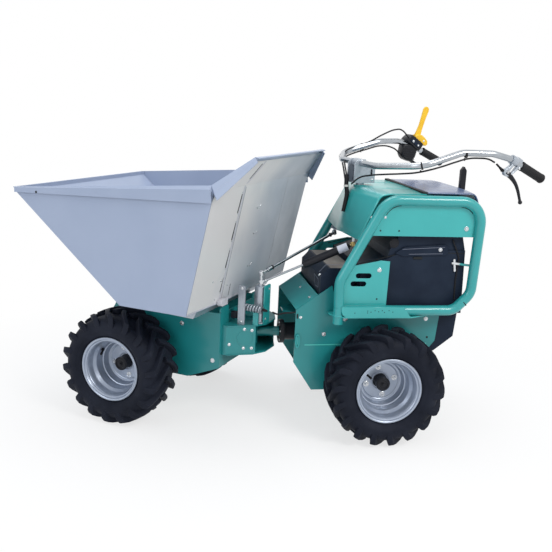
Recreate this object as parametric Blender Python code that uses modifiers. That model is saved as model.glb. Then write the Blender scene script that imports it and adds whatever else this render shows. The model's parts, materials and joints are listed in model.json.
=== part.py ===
"""Electric walk-behind power buggy: articulated four-wheel dumper with a forward-tipping skip.

Frame: metres, +Z up, +X toward the skip end of the rear half, +Y to the machine's left.
The rear half lies along X; the front half is turned STEER about the vertical pivot.
"""
import bpy
import bmesh
from math import radians, sin, cos, tan, pi, hypot, atan2

for ob in list(bpy.data.objects):
    bpy.data.objects.remove(ob, do_unlink=True)

# ---------------------------------------------------------------- sizes
PIVOT_X, PIVOT_Y = 0.0834, 0.179    # articulation pivot, measured from the frame origin
STEER = radians(33.2)               # front half turned to the machine's right
BAR_TURN = radians(12.0)            # handlebar turned with it through the drag link
GAP = 0.0003                        # clearance left between parts that touch

TYRE_R, TYRE_W = 0.204, 0.165       # to the lug tips
LUG_H, LUG_LEAN = 0.017, 0.93       # a lug's crown stops short of the shoulder
TREAD_N = 72                        # columns of tread; a lug is one column wide
LUG_STEP, LUG_SWEEP = 4, 3          # columns from lug to lug, and swept back to the shoulder
RIM_N = TREAD_N // 2                # facets round the sidewall and rim
AXLE_Z = TYRE_R * cos(pi / TREAD_N)  # a lug's crown lies on the ground
AXLE_H = 0.2038                     # axle height in the two halves' own frames
RIM_R, RIM_W, RIM_DISH = 0.115, 0.137, 0.112
BEAD_R = 0.1015
SHEET = 0.005
HUB_R, HUB_OUT = 0.025, 0.045
TRACK = 0.554                       # between tyre middles
WHEEL_CLEAR = 0.0195                # chassis side to the tyre
AXLE_F, AXLE_R = 0.373, -0.441      # axle centres from the pivot
AXLE_TUBE_R = 0.030

SKIP_HALF, LIP = 0.398, 0.010
SKIP_WALL = 0.003
SKIP_BOTTOM = 0.462
SKIP_REAR_X, SKIP_FLOOR_X = 0.041, 0.292
SKIP_FRONT_X, SKIP_FRONT_Z = 0.716, 0.806
RIM_REAR_X, RIM_REAR_Z = -0.043, 0.877
GUARD_X, GUARD_Z, GUARD_HALF = -0.137, 0.976, 0.298
TIP_X, TIP_Z, TIP_R = 0.400, 0.475, 0.012

CH_R_HALF = TRACK / 2 - TYRE_W / 2 - WHEEL_CLEAR
CH_F_HALF, CH_F_TOP, CH_F_BOT = CH_R_HALF - 0.010, 0.416, 0.163
HOUSE_HALF = CH_F_HALF - 0.016
LOOP_Y, LOOP_R = 0.232, 0.018
LOOP_TOP, LOOP_FOOT = 0.8435, 0.411
PANEL_TOP = LOOP_TOP - LOOP_R - GAP
PANEL_IN, PANEL_OUT = LOOP_Y - 0.0095, LOOP_Y - 0.0055
DECK_TOP, DECK_SHEET = 0.4402, 0.004
COWL_SHEET = 0.0035
HOUSE_TOP, HOUSE_BOT, HOUSE_WALL = 0.370, 0.262, 0.006
PIN_R, NECK_R, KNUCKLE_R = 0.018, 0.018, 0.034
FLANGE_X, FLANGE_R = -0.112, 0.044
POST_X, POST_Y, POST_R = -0.060, 0.040, 0.021
POST_TOP = 0.505
STEM_X, STEM_R = -0.385, 0.023
BAR_R = 0.011
ARM_X, ARM_Y, ARM_Z = -0.341, -0.150, 0.686     # drag link ball on the stem's arm
BALL_DROP = 0.022                               # its ball below the arm's middle
DAMPER_R = 0.014
LINK_RISE = 0.033                               # drag link's eye above the damper's on the post
STUD_X, STUD_Y, STUD_Z = -0.333, 0.150, 0.676   # damper stud on the cowl


# ---------------------------------------------------------------- helpers
main = bpy.data.collections.new("power_buggy")
cutters = bpy.data.collections.new("cutters")
bpy.context.scene.collection.children.link(main)
bpy.context.scene.collection.children.link(cutters)


def material(name, rgb, metal, rough):
    m = bpy.data.materials.new(name)
    m.use_nodes = True
    b = m.node_tree.nodes["Principled BSDF"]
    b.inputs["Base Color"].default_value = (*rgb, 1)
    b.inputs["Metallic"].default_value = metal
    b.inputs["Roughness"].default_value = rough
    return m


PAINT = {
    "teal": ((0.03, 0.40, 0.36), 0.0, 0.30),
    "skip": ((0.36, 0.42, 0.54), 0.2, 0.40),
    "zinc": ((0.55, 0.57, 0.60), 0.8, 0.35),
    "rubber": ((0.015, 0.016, 0.02), 0.0, 0.75),
    "rim": ((0.50, 0.53, 0.60), 0.8, 0.30),
    "chrome": ((0.80, 0.82, 0.84), 1.0, 0.08),
    "black": ((0.02, 0.022, 0.03), 0.1, 0.35),
    "box": ((0.02, 0.025, 0.045), 0.0, 0.35),
    "lever": ((0.90, 0.55, 0.03), 0.0, 0.40),
}


def empty(name, parent=None, at=(0, 0, 0), turn=0.0):
    e = bpy.data.objects.new(name, None)
    e.location = at
    e.rotation_euler = (0, 0, turn)
    e.parent = parent
    main.objects.link(e)
    return e


def add(name, mesh, paint, parent, cutter=False):
    ob = bpy.data.objects.new(name, mesh)
    if cutter:
        cutters.objects.link(ob)
        ob.hide_render = True
        ob.display_type = "WIRE"
    else:
        main.objects.link(ob)
        rgb, metal, rough = PAINT[paint]
        mesh.materials.append(material(name, rgb, metal, rough))
    ob.parent = parent
    return ob


def mesh_of(curve):
    """Mesh of a curve, with its caps welded on."""
    tmp = bpy.data.objects.new(curve.name + "_curve", curve)
    bpy.context.scene.collection.objects.link(tmp)
    graph = bpy.context.evaluated_depsgraph_get()
    me = bpy.data.meshes.new_from_object(tmp.evaluated_get(graph))
    me.name = curve.name
    me.materials.clear()
    bpy.data.objects.remove(tmp, do_unlink=True)
    bm = bmesh.new()
    bm.from_mesh(me)
    bmesh.ops.remove_doubles(bm, verts=bm.verts, dist=1e-5)
    bmesh.ops.recalc_face_normals(bm, faces=bm.faces)
    bm.to_mesh(me)
    bm.free()
    return me


def poly_curve(name, points, closed):
    cu = bpy.data.curves.new(name, "CURVE")
    sp = cu.splines.new("POLY")
    sp.points.add(len(points) - 1)
    for q, p in zip(sp.points, points):
        q.co = (*p, 1)
    sp.use_cyclic_u = closed
    return cu


OUTLINE_TURN = {"x": (radians(90), 0, radians(90)), "y": (radians(90), 0, 0), "z": (0, 0, 0)}
SPIN_TURN = {"x": (0, radians(90), 0), "y": (radians(-90), 0, 0), "z": (0, 0, 0)}


def prism(name, points, axis, lo, hi, paint, parent, cutter=False):
    """Outline in the two axes left after `axis` (in x, y, z order), thick from lo to hi."""
    cu = poly_curve(name, [(u, v, 0) for u, v in points], True)
    cu.dimensions = "2D"
    cu.fill_mode = "BOTH"
    cu.extrude = (hi - lo) / 2
    ob = add(name, mesh_of(cu), paint, parent, cutter)
    ob.location["xyz".index(axis)] = (lo + hi) / 2
    ob.rotation_euler = OUTLINE_TURN[axis]
    return ob


def rect(u0, u1, v0, v1, c=0.0):
    """Rectangle with its corners cut by c."""
    if not c:
        return [(u0, v0), (u1, v0), (u1, v1), (u0, v1)]
    return [(u0 + c, v0), (u1 - c, v0), (u1, v0 + c), (u1, v1 - c),
            (u1 - c, v1), (u0 + c, v1), (u0, v1 - c), (u0, v0 + c)]


def box(name, x0, x1, y0, y1, z0, z1, paint, parent, c=0.0, axis="y", cutter=False):
    if axis == "y":
        return prism(name, rect(x0, x1, z0, z1, c), "y", y0, y1, paint, parent, cutter)
    if axis == "x":
        return prism(name, rect(y0, y1, z0, z1, c), "x", x0, x1, paint, parent, cutter)
    return prism(name, rect(x0, x1, y0, y1, c), "z", z0, z1, paint, parent, cutter)


def spun(name, profile, axis, at, paint, parent, n=32, cutter=False):
    """Profile of (along, radius) turned about an axis through `at`; radius 0 ends are poles."""
    ring = profile[0][1] > 0
    turns = zip(profile, profile[1:] + profile[:1])
    if sum(r0 * s1 - r1 * s0 for (s0, r0), (s1, r1) in turns) > 0:
        profile = profile[::-1]
    edges = [(i, i + 1) for i in range(len(profile) - 1)]
    if ring:
        edges.append((len(profile) - 1, 0))
    me = bpy.data.meshes.new(name)
    me.from_pydata([(r, 0, s) for s, r in profile], edges, [])
    ob = add(name, me, paint, parent, cutter)
    ob.location = at
    ob.rotation_euler = SPIN_TURN[axis]
    turn = ob.modifiers.new("turn", "SCREW")
    turn.angle = 2 * pi
    turn.steps = turn.render_steps = n
    turn.use_merge_vertices = True
    turn.merge_threshold = 1e-5
    return ob


def pin(name, axis, at, r, lo, hi, paint, parent, n=20, cutter=False):
    return spun(name, [(lo, 0), (lo, r), (hi, r), (hi, 0)], axis, at, paint, parent, n, cutter)


def rounded(points, radius, closed=False, steps=4):
    """Path with each inner corner replaced by an arc; radius may be one for each point."""
    from mathutils import Vector
    pts = [Vector(p) for p in points]
    n = len(pts)
    out = []
    for i, p in enumerate(pts):
        if not closed and i in (0, n - 1):
            out.append(p)
            continue
        a = (pts[i - 1] - p)
        b = (pts[(i + 1) % n] - p)
        ang = a.angle(b)
        if ang > pi - 0.05:
            out.append(p)
            continue
        size = radius[i] if isinstance(radius, (list, tuple)) else radius
        cut = min(size / tan(ang / 2), a.length * 0.45, b.length * 0.45)
        r = cut * tan(ang / 2)
        a.normalize()
        b.normalize()
        mid = (a + b).normalized()
        centre = p + mid * (r / sin(ang / 2))
        s = (p + a * cut) - centre
        e = (p + b * cut) - centre
        full = s.angle(e)
        for k in range(steps + 1):
            t = k / steps
            out.append(centre + (s * sin((1 - t) * full) + e * sin(t * full)) / sin(full))
    return out


def tube(name, points, r, paint, parent, closed=False, res=2, cutter=False):
    cu = poly_curve(name, points, closed)
    cu.dimensions = "3D"
    cu.bevel_depth = r
    cu.bevel_resolution = res
    cu.use_fill_caps = not closed
    return add(name, mesh_of(cu), paint, parent, cutter)


def boolean(ob, tool, how="DIFFERENCE"):
    m = ob.modifiers.new(how.lower(), "BOOLEAN")
    m.operation = how
    m.solver = "EXACT"
    m.object = tool
    return m


# ---------------------------------------------------------------- bodies
machine = empty("machine", at=(PIVOT_X, PIVOT_Y, AXLE_Z - AXLE_H))
rear = empty("rear_half", machine)
front = empty("front_half", machine, turn=-STEER)
stem = empty("handlebar_turn", rear, at=(STEM_X, 0, 0), turn=BAR_TURN)
skip = empty("skip_tip", front, at=(TIP_X, 0, TIP_Z))


# ---------------------------------------------------------------- wheels
def tyre(name, hub, phase):
    """Profile turned column by column, lugs extruded from the tread, sidewall columns paired."""
    w, o = TYRE_W / 2, RIM_W / 2
    tread, shoulder = TYRE_R - LUG_H, w - 0.0085
    tread_edge = tread - 0.0125
    half = [(0.0, tread), (shoulder, tread_edge), (w, 0.152), (w - 0.003, 0.134),
            (o - 0.0052, RIM_R + 0.004), (o - 0.006, BEAD_R + GAP)]
    bm = bmesh.new()
    start = pi / TREAD_N
    ring = [bm.verts.new((r * sin(start), y, r * cos(start)))
            for y, r in [(-y, r) for y, r in reversed(half[1:])] + half]
    edges = [bm.edges.new(pair) for pair in zip(ring, ring[1:] + ring[:1])]
    bmesh.ops.spin(bm, geom=ring + edges, cent=(0, 0, 0), axis=(0, 1, 0), angle=2 * pi,
                   steps=TREAD_N, use_merge=True)
    bmesh.ops.remove_doubles(bm, verts=bm.verts, dist=1e-5)

    def column(x, z):
        return round(atan2(x, z) / (2 * pi) * TREAD_N - 0.01) % TREAD_N

    lugs = []
    for f in bm.faces:
        mid = f.calc_center_median()
        first = phase if mid.y > 0 else phase + LUG_STEP // 2
        on_tread = abs(mid.y) < shoulder and hypot(mid.x, mid.z) > tread_edge
        if on_tread and (column(mid.x, mid.z) - first) % LUG_STEP == 0:
            lugs.append(f)
    wall = {}
    for v in bm.verts:
        r = hypot(v.co.x, v.co.z)
        if r < tread_edge - 0.001:
            k = round((atan2(v.co.x, v.co.z) - start) / (2 * pi) * TREAD_N) % TREAD_N
            wall[(k, round(v.co.y, 5), round(r, 5))] = v
    pairs = {v: wall[(k - 1, y, r)] for (k, y, r), v in wall.items() if k % 2}
    crowns = bmesh.ops.extrude_discrete_faces(bm, faces=lugs)["faces"]
    for v in {v for f in crowns for v in f.verts}:
        outer = abs(v.co.y) > shoulder / 2
        grow = (TYRE_R - 0.003 if outer else TYRE_R) / hypot(v.co.x, v.co.z)
        v.co.x *= grow
        v.co.z *= grow
        v.co.y *= LUG_LEAN if outer else 1.0
    bmesh.ops.weld_verts(bm, targetmap=pairs)
    for v in bm.verts:
        turn = -2 * pi / TREAD_N * LUG_SWEEP * min(1.0, abs(v.co.y) / (shoulder * LUG_LEAN))
        c, s = cos(turn), sin(turn)
        v.co.x, v.co.z = c * v.co.x + s * v.co.z, -s * v.co.x + c * v.co.z
    bmesh.ops.recalc_face_normals(bm, faces=bm.faces)
    me = bpy.data.meshes.new(name)
    bm.to_mesh(me)
    bm.free()
    return add(name, me, "rubber", hub)


def wheel(tag, parent, x, side, phase):
    hub = empty("wheel_" + tag, parent, at=(x, side * TRACK / 2, AXLE_H))
    tyre("tyre_" + tag, hub, phase)
    o = RIM_W / 2
    t = 0.0035
    d = side * (o - RIM_DISH)
    # barrel from the inner flange to the outer one, disc set in by the dish
    s = side
    out = [(-s * o, RIM_R), (-s * (o - 0.0035), RIM_R), (-s * (o - 0.0045), BEAD_R),
           (-s * 0.040, BEAD_R - 0.001), (-s * 0.030, 0.090), (s * 0.018, 0.090),
           (s * 0.030, BEAD_R - 0.001), (s * (o - 0.0045), BEAD_R),
           (s * (o - 0.0035), RIM_R), (s * o, RIM_R), (s * (o + 0.0008), RIM_R - 0.004),
           (s * o, BEAD_R - t), (s * 0.033, BEAD_R - t - 0.001), (s * 0.021, 0.090 - t),
           (d + s * 0.016, 0.084), (d + s * 0.004, 0.070), (d + s * t, 0.062),
           (d + s * t, HUB_R + GAP), (d, HUB_R + GAP), (d, 0.064), (d + s * 0.002, 0.088),
           (-s * 0.0315, 0.088 - 0.0005), (-s * 0.042, BEAD_R - t), (-s * (o - 0.001), BEAD_R - t)]
    rim = spun("rim_" + tag, out, "y", (0, 0, 0), "rim", hub, RIM_N)
    rim.rotation_euler.y = 2 * pi / TREAD_N * (0.5 - LUG_SWEEP)
    a, b = d - s * 0.030, d + s * HUB_OUT
    prof = [(a, 0), (a, 0.048), (d - s * GAP, 0.048), (d - s * GAP, HUB_R), (b - s * 0.006, HUB_R),
            (b - s * 0.006, 0.022), (b, 0.022), (b, 0)]
    spun("hub_" + tag, prof, "y", (0, 0, 0), "black", hub, 20)
    return hub


for tag, parent, x, phase in (("front", front, AXLE_F, 2), ("rear", rear, AXLE_R, 0)):
    for name, side in (("left", 1), ("right", -1)):
        wheel(f"{tag}_{name}", parent, x, side, phase)


def axle(tag, parent, x):
    """Axle tube with the motor and gear case in its middle."""
    end = TRACK / 2 + RIM_W / 2 - RIM_DISH - 0.030 - GAP
    ob = spun(tag, [(-end, 0), (-end, AXLE_TUBE_R), (end, AXLE_TUBE_R), (end, 0)], "y",
              (x, 0, AXLE_H), "black", parent, 20)
    case = box(tag + "_case", x - 0.07, x + 0.07, -0.075, 0.075, AXLE_H - 0.034, AXLE_H + 0.06,
               "black", parent, c=0.02, cutter=True)
    boolean(ob, case, "UNION")
    return ob


axle("front_axle", front, AXLE_F)
axle("rear_axle", rear, AXLE_R)


# ---------------------------------------------------------------- chassis troughs
def trough(name, outline, half, x0, x1, floor, parent, axle_x):
    """Folded-sheet chassis: two side plates on a floor, open above and at both ends."""
    ob = prism(name, outline, "y", -half, half, "teal", parent)
    inside = box(name + "_inside", x0, x1, -half + SHEET, half - SHEET, floor + SHEET, 1.0,
                 None, parent, cutter=True)
    boolean(ob, inside)
    hole = pin(name + "_hole", "y", (axle_x, 0, AXLE_H), AXLE_TUBE_R + GAP, -0.5, 0.5,
               None, parent, 20, cutter=True)
    boolean(ob, hole)
    return ob


front_plate = [(0.034, 0.215), (0.160, CH_F_BOT), (0.470, CH_F_BOT), (0.505, 0.215),
               (0.505, 0.330), (0.455, CH_F_TOP + 0.002), (0.430, 0.494), (0.370, 0.494),
               (0.345, CH_F_TOP), (0.034, CH_F_TOP)]
fc = trough("front_chassis", front_plate, CH_F_HALF, -0.5, 1.0, CH_F_BOT, front, AXLE_F)
fpin = pin("tip_pin_hole", "y", (TIP_X, 0, TIP_Z), TIP_R + GAP, -0.5, 0.5, None, front, 16,
           cutter=True)
boolean(fc, fpin)
back = box("front_cross_plate", 0.034, 0.040, -CH_F_HALF + 0.001, CH_F_HALF - 0.001, 0.217,
           CH_F_TOP - 0.002, None, front, axis="x", cutter=True)
boolean(fc, back, "UNION")
for s in (1, -1):
    y0, y1 = sorted((s * (CH_F_HALF - 0.065), s * (CH_F_HALF - 0.003)))
    tab = box(f"back_tab_{s}", 0.0345, 0.0395, y0, y1, 0.400, 0.436, None, front, axis="x", c=0.004,
              cutter=True)
    boolean(fc, tab, "UNION")
pin("tip_pin", "y", (TIP_X, 0, TIP_Z), TIP_R, -CH_F_HALF - 0.028, CH_F_HALF + 0.028, "zinc",
    front, 16)

rear_plate = [(-0.138, 0.254), (-0.207, 0.150), (-0.600, 0.150), (-0.625, 0.290),
              (-0.655, 0.330), (-0.665, 0.440), (-0.290, 0.440), (-0.262, 0.532),
              (-0.138, 0.4445)]
rc = trough("rear_chassis", rear_plate, CH_R_HALF, -1.0, 1.0, 0.150, rear, AXLE_R)
cross = box("rear_cross_plate", -0.216, -0.210, -CH_R_HALF + 0.001, CH_R_HALF - 0.001,
            0.152, 0.455, None, rear, axis="x", cutter=True)
boolean(rc, cross, "UNION")

# ---------------------------------------------------------------- articulation
# front half's housing: two plates on slanted sides, open to the rear for the knuckle's neck
FACE = 0.034 - GAP
side = [(FACE, HOUSE_HALF), (0.018, HOUSE_HALF), (-0.066, 0.084), (-0.088, 0.040)]
house = prism("pivot_housing", side + [(x, -y) for x, y in reversed(side)], "z", HOUSE_BOT,
              HOUSE_TOP, "teal", front)
inner = HOUSE_HALF - HOUSE_WALL
room = [(0.1, inner), (0.016, inner), (-0.0632, 0.082), (-0.2, 0.082)]
boolean(house, prism("housing_room", room + [(x, -y) for x, y in reversed(room)], "z",
                     HOUSE_BOT + HOUSE_WALL, HOUSE_TOP - HOUSE_WALL, None, front, cutter=True))
boolean(house, pin("pivot_bore", "z", (0, 0, 0), PIN_R + GAP, 0.1, 0.6, None, front, 20,
                   cutter=True))

# rear half's knuckle on its pin, and the flange that it swivels on
knuckle = pin("pivot_knuckle", "z", (0, 0, 0), PIN_R, HOUSE_BOT - 0.010, HOUSE_TOP + 0.010, "teal",
              rear, 20)
boolean(knuckle, pin("knuckle_boss", "z", (0, 0, 0), KNUCKLE_R, HOUSE_BOT + HOUSE_WALL + 0.0063,
                     HOUSE_TOP - HOUSE_WALL - 0.0063, None, rear, 24, cutter=True), "UNION")
MID_Z = (HOUSE_TOP + HOUSE_BOT) / 2
boolean(knuckle, pin("knuckle_neck", "x", (0, 0, MID_Z), NECK_R, FLANGE_X + GAP, 0.0, None, rear,
                     20, cutter=True), "UNION")
spun("swivel_flange", [(-0.2097, 0), (-0.2097, 0.032), (FLANGE_X - 0.018, 0.032),
                       (FLANGE_X - 0.018, FLANGE_R), (FLANGE_X, FLANGE_R), (FLANGE_X, 0)], "x",
     (0, 0, MID_Z), "black", rear, 28)
prism("rear_tongue", [(-0.2097, -0.095), (-0.150, -0.050), (-0.120, -0.022), (-0.120, 0.022),
                      (-0.150, 0.050), (-0.2097, 0.095)], "z", 0.398, 0.404, "teal", rear)

# steering post with its web on the housing, and the skip-latch gear beside it
spun("steering_post", [(HOUSE_TOP + GAP, 0), (HOUSE_TOP + GAP, POST_R), (POST_TOP - 0.014, POST_R),
                       (POST_TOP - 0.014, 0.014), (POST_TOP, 0.014), (POST_TOP, 0)], "z",
     (POST_X, POST_Y, 0), "zinc", front, 20)
box("post_web", POST_X - POST_R - 0.0053, POST_X - POST_R - GAP, 0.012, 0.060, HOUSE_TOP + GAP,
    POST_TOP + 0.005, "teal", front, axis="x", c=0.004)
SPRING_R, SPRING_Z = 0.014, 0.430
spun("latch_spring", [(-0.090, 0), (-0.090, SPRING_R), (-0.001, SPRING_R), (-0.001, 0)], "x",
     (0, 0.085, SPRING_Z), "zinc", front, 16)
box("latch_bracket", -0.075, -0.055, 0.0825, 0.0875, HOUSE_TOP + GAP, SPRING_Z - SPRING_R - GAP,
    "teal", front)
box("latch_bar", -0.0305, -0.0045, 0.1003, 0.1063, HOUSE_TOP + GAP, 0.512, "zinc", front)


# ---------------------------------------------------------------- skip
def skip_shell():
    """Open hopper surface with its rim folded out; Solidify gives it the wall."""
    bm = bmesh.new()
    h, l = SKIP_HALF, SKIP_HALF + LIP

    def quad(*pts):
        bm.faces.new([bm.verts.new(p) for p in pts])

    bow, seam = 0.012, 0.180
    zb, xr, xf = SKIP_BOTTOM, SKIP_REAR_X, SKIP_FLOOR_X
    fx, fz = SKIP_FRONT_X, SKIP_FRONT_Z
    rx, rz = RIM_REAR_X, RIM_REAR_Z
    gx, gz, gh = GUARD_X, GUARD_Z, GUARD_HALF
    top_f = fz + 0.013
    # floor, bowed at the rear wall
    floor = [(xf, -h, zb), (xf, h, zb), (xr, h, zb), (xr - bow, seam, zb), (xr - bow, -seam, zb),
             (xr, -h, zb)]
    quad(*floor)
    quad((xf, -h, zb), (xf, h, zb), (fx, h, fz), (fx, -h, fz))
    for s in (1, -1):
        # side, its top edge rising toward the rear
        quad((xr, s * h, zb), (xf, s * h, zb), (fx, s * h, fz), (fx, s * h, top_f),
             (rx, s * h, rz))
        # rear wall: outer facets, below and above the bend at rim height
        quad((xr, s * h, zb), (xr - bow, s * seam, zb), (rx - bow, s * seam, rz), (rx, s * h, rz))
        quad((rx, s * h, rz), (rx - bow, s * seam, rz), (gx - 0.004, s * seam, gz),
             (gx, s * gh, gz))
        # side rim: out, then down
        quad((fx, s * h, top_f), (rx, s * h, rz), (rx, s * l, rz), (fx, s * l, top_f))
        quad((fx, s * l, top_f), (rx, s * l, rz), (rx - 0.003, s * l, rz - 0.041),
             (fx, s * l, top_f - 0.015))
        # guard edge flange
        quad((rx, s * h, rz), (gx, s * gh, gz), (gx - 0.012, s * (gh + 0.004), gz - 0.014),
             (rx - 0.022, s * (h + 0.008), rz - 0.030))
    quad((xr - bow, -seam, zb), (xr - bow, seam, zb), (rx - bow, seam, rz), (rx - bow, -seam, rz))
    quad((rx - bow, -seam, rz), (rx - bow, seam, rz), (gx - 0.004, seam, gz),
         (gx - 0.004, -seam, gz))
    # front rim
    quad((fx, -h, fz), (fx, h, fz), (fx, h, top_f), (fx, -h, top_f))
    quad((fx, -h, top_f), (fx, h, top_f), (fx + 0.014, h, top_f), (fx + 0.014, -h, top_f))
    # guard top flange
    quad((gx, gh, gz), (gx - 0.004, seam, gz), (gx - 0.004, -seam, gz), (gx, -gh, gz),
         (gx - 0.014, -gh, gz - 0.002), (gx - 0.014, gh, gz - 0.002))
    bmesh.ops.remove_doubles(bm, verts=bm.verts, dist=1e-6)
    bmesh.ops.recalc_face_normals(bm, faces=bm.faces)
    for v in bm.verts:
        v.co.x -= TIP_X
        v.co.z -= TIP_Z
    me = bpy.data.meshes.new("skip_tub")
    bm.to_mesh(me)
    bm.free()
    ob = add("skip_tub", me, "skip", skip)
    m = ob.modifiers.new("wall", "SOLIDIFY")
    m.thickness = SKIP_WALL
    m.offset = 0
    m.use_even_offset = True
    m.use_quality_normals = True
    return ob


skip_shell()
under = SKIP_BOTTOM - SKIP_WALL / 2 - GAP
foot = prism("skip_underframe",
             [(0.050 - TIP_X, under - TIP_Z), (0.280 - TIP_X, under - TIP_Z),
              (0.262 - TIP_X, 0.430 - TIP_Z), (0.068 - TIP_X, 0.425 - TIP_Z)],
             "y", -0.300, 0.300, "zinc", skip)
for s, nm in ((1, "left"), (-1, "right")):
    y0, y1 = s * (CH_F_HALF + 0.006), s * (CH_F_HALF + 0.014)
    ear = prism("skip_ear_" + nm, [(-0.160, -0.0155), (-0.160, -0.038), (-0.030, -0.020),
                                   (0.000, -0.026), (0.026, -0.012), (0.030, 0.010),
                                   (0.000, 0.026), (-0.060, 0.006), (-0.100, -0.0155)],
                "y", min(y0, y1), max(y0, y1), None, skip, cutter=True)
    boolean(foot, ear, "UNION")
eb = pin("ear_bore", "y", (0, 0, 0), TIP_R + GAP, -0.5, 0.5, None, skip, 16, cutter=True)
boolean(foot, eb)

# ---------------------------------------------------------------- rear half, bodywork
cover = [(-0.138 + GAP, 0.4453), (-0.214, 0.4985), (-0.217, 0.4935), (-0.1425, 0.4410)]
prism("front_cover", cover, "y", -CH_R_HALF + SHEET + GAP, CH_R_HALF - SHEET - GAP, "teal", rear)
prism("electronics_box", [(-0.222, 0.497 + GAP), (-0.222, 0.562), (-0.250, 0.592), (-0.339, 0.592),
                          (-0.345, 0.586), (-0.345, 0.497 + GAP)], "y", 0.010 - CH_R_HALF,
      CH_R_HALF - 0.010, "black", rear)
lower = [(-0.500, 0.290), (-0.655, 0.290), (-0.725, 0.345), (-0.733, 0.4425), (-0.500, 0.4425)]
lb = prism("battery_box", lower, "y", -CH_R_HALF + SHEET + GAP, CH_R_HALF - SHEET - GAP, "box",
           rear)
ub = prism("battery_box_upper", [(-0.300, 0.4403), (-0.733, 0.4403), (-0.727, 0.668),
                                 (-0.505, 0.664), (-0.446, 0.636), (-0.352, 0.606), (-0.352, 0.497),
                                 (-0.300, 0.497)],
           "y", -PANEL_IN + 0.0225, PANEL_IN - 0.0225, "box", rear, cutter=True)
boolean(lb, ub, "UNION")
prism("battery_lid", [(-0.446, 0.6365), (-0.505, 0.6645), (-0.727, 0.6685),
                      (-0.715, 0.716), (-0.485, 0.716), (-0.452, 0.664)], "y", -PANEL_IN + 0.0265,
      PANEL_IN - 0.0265, "box", rear)

# loop frames and what is bolted between and inside them
loop = [(-0.2745, 0.459), (-0.2715, 0.560), (-0.419, LOOP_TOP), (-0.762, LOOP_TOP), (-0.748, 0.520),
        (-0.690, 0.459)]
rooms = []
for s, nm in ((1, "left"), (-1, "right")):
    path = rounded([(x, s * LOOP_Y, z) for x, z in loop],
                   (0.022, 0.075, 0.075, 0.075, 0.060, 0.060), closed=True, steps=4)
    foot_x, _ = loop[0]
    frame = tube("loop_" + nm, path, LOOP_R, "teal", rear, closed=True, res=2)
    boolean(frame, pin("loop_foot_" + nm, "z", (foot_x, s * LOOP_Y, 0), LOOP_R - 0.0002, LOOP_FOOT,
                       0.470, None, rear, 16, cutter=True), "UNION")
    hole = pin("foot_room_" + nm, "z", (foot_x, s * LOOP_Y, 0), LOOP_R + GAP, 0.380, 0.470, None,
               rear, 16, cutter=True)
    room = tube("loop_room_" + nm, path, LOOP_R + GAP, None, rear, closed=True, res=2, cutter=True)
    rooms.append(room)
    y0, y1 = sorted((s * PANEL_IN, s * PANEL_OUT))
    prism("side_panel_" + nm, [(-0.388, 0.7195), (-0.7375, 0.7195), (-0.7395, 0.780),
                               (-0.722, 0.812), (-0.690, PANEL_TOP), (-0.462, PANEL_TOP),
                               (-0.436, 0.810)], "y", y0, y1, "teal", rear)
    gusset = prism("gusset_" + nm, [(-0.2745, 0.459), (-0.2715, 0.560), (-0.309, 0.633),
                                    (-0.433, 0.633), (-0.435, 0.459)], "y", y0, y1, "teal", rear)
    boolean(gusset, room)
    for i, (u, v) in enumerate(((-0.357, 0.580), (-0.340, 0.5515))):
        slot = [(u - 0.028, v - 0.004), (u - 0.021, v - 0.009), (u + 0.021, v - 0.009),
                (u + 0.028, v - 0.004), (u + 0.028, v + 0.004), (u + 0.021, v + 0.009),
                (u - 0.021, v + 0.009), (u - 0.028, v + 0.004)]
        boolean(gusset, prism(f"vent_{nm}_{i}", slot, "y", min(s * 0.2, s * 0.25),
                              max(s * 0.2, s * 0.25), None, rear, cutter=True))
    outer = LOOP_Y + LOOP_R + GAP
    y0, y1 = sorted((s * (CH_R_HALF + GAP), s * (outer + 0.0025)))
    deck = prism("deck_" + nm, rect(-0.662, -0.250, DECK_TOP - DECK_SHEET, DECK_TOP), "y", y0, y1,
                 "teal", rear)
    y0, y1 = sorted((s * outer, s * (outer + 0.003)))
    boolean(deck, prism("deck_edge_" + nm, [(-0.2515, 0.448), (-0.257, DECK_TOP - 0.002),
                                            (-0.530, DECK_TOP - 0.002), (-0.500, 0.476),
                                            (-0.2515, 0.476)], "y", y0, y1, None, rear,
                        cutter=True), "UNION")
    boolean(deck, hole)

HOOD_HALF = PANEL_IN - GAP


def folded_sheet(name, rows, thick, paint, parent):
    """Sheet through rows of (x, z at the sides, x, z in the middle), ridged along the middle."""
    bm = bmesh.new()
    grid = []
    for xs, zs, xm, zm in rows:
        grid.append([bm.verts.new(p) for p in ((xs, -HOOD_HALF, zs), (xm, 0, zm),
                                               (xs, HOOD_HALF, zs))])
    for a, b in zip(grid, grid[1:]):
        for i in (0, 1):
            bm.faces.new((a[i], a[i + 1], b[i + 1], b[i]))
    bmesh.ops.recalc_face_normals(bm, faces=bm.faces)
    me = bpy.data.meshes.new(name)
    bm.to_mesh(me)
    bm.free()
    ob = add(name, me, paint, parent)
    m = ob.modifiers.new("wall", "SOLIDIFY")
    m.thickness = thick
    m.offset = 0
    m.use_even_offset = True
    m.use_quality_normals = True
    return ob


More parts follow.
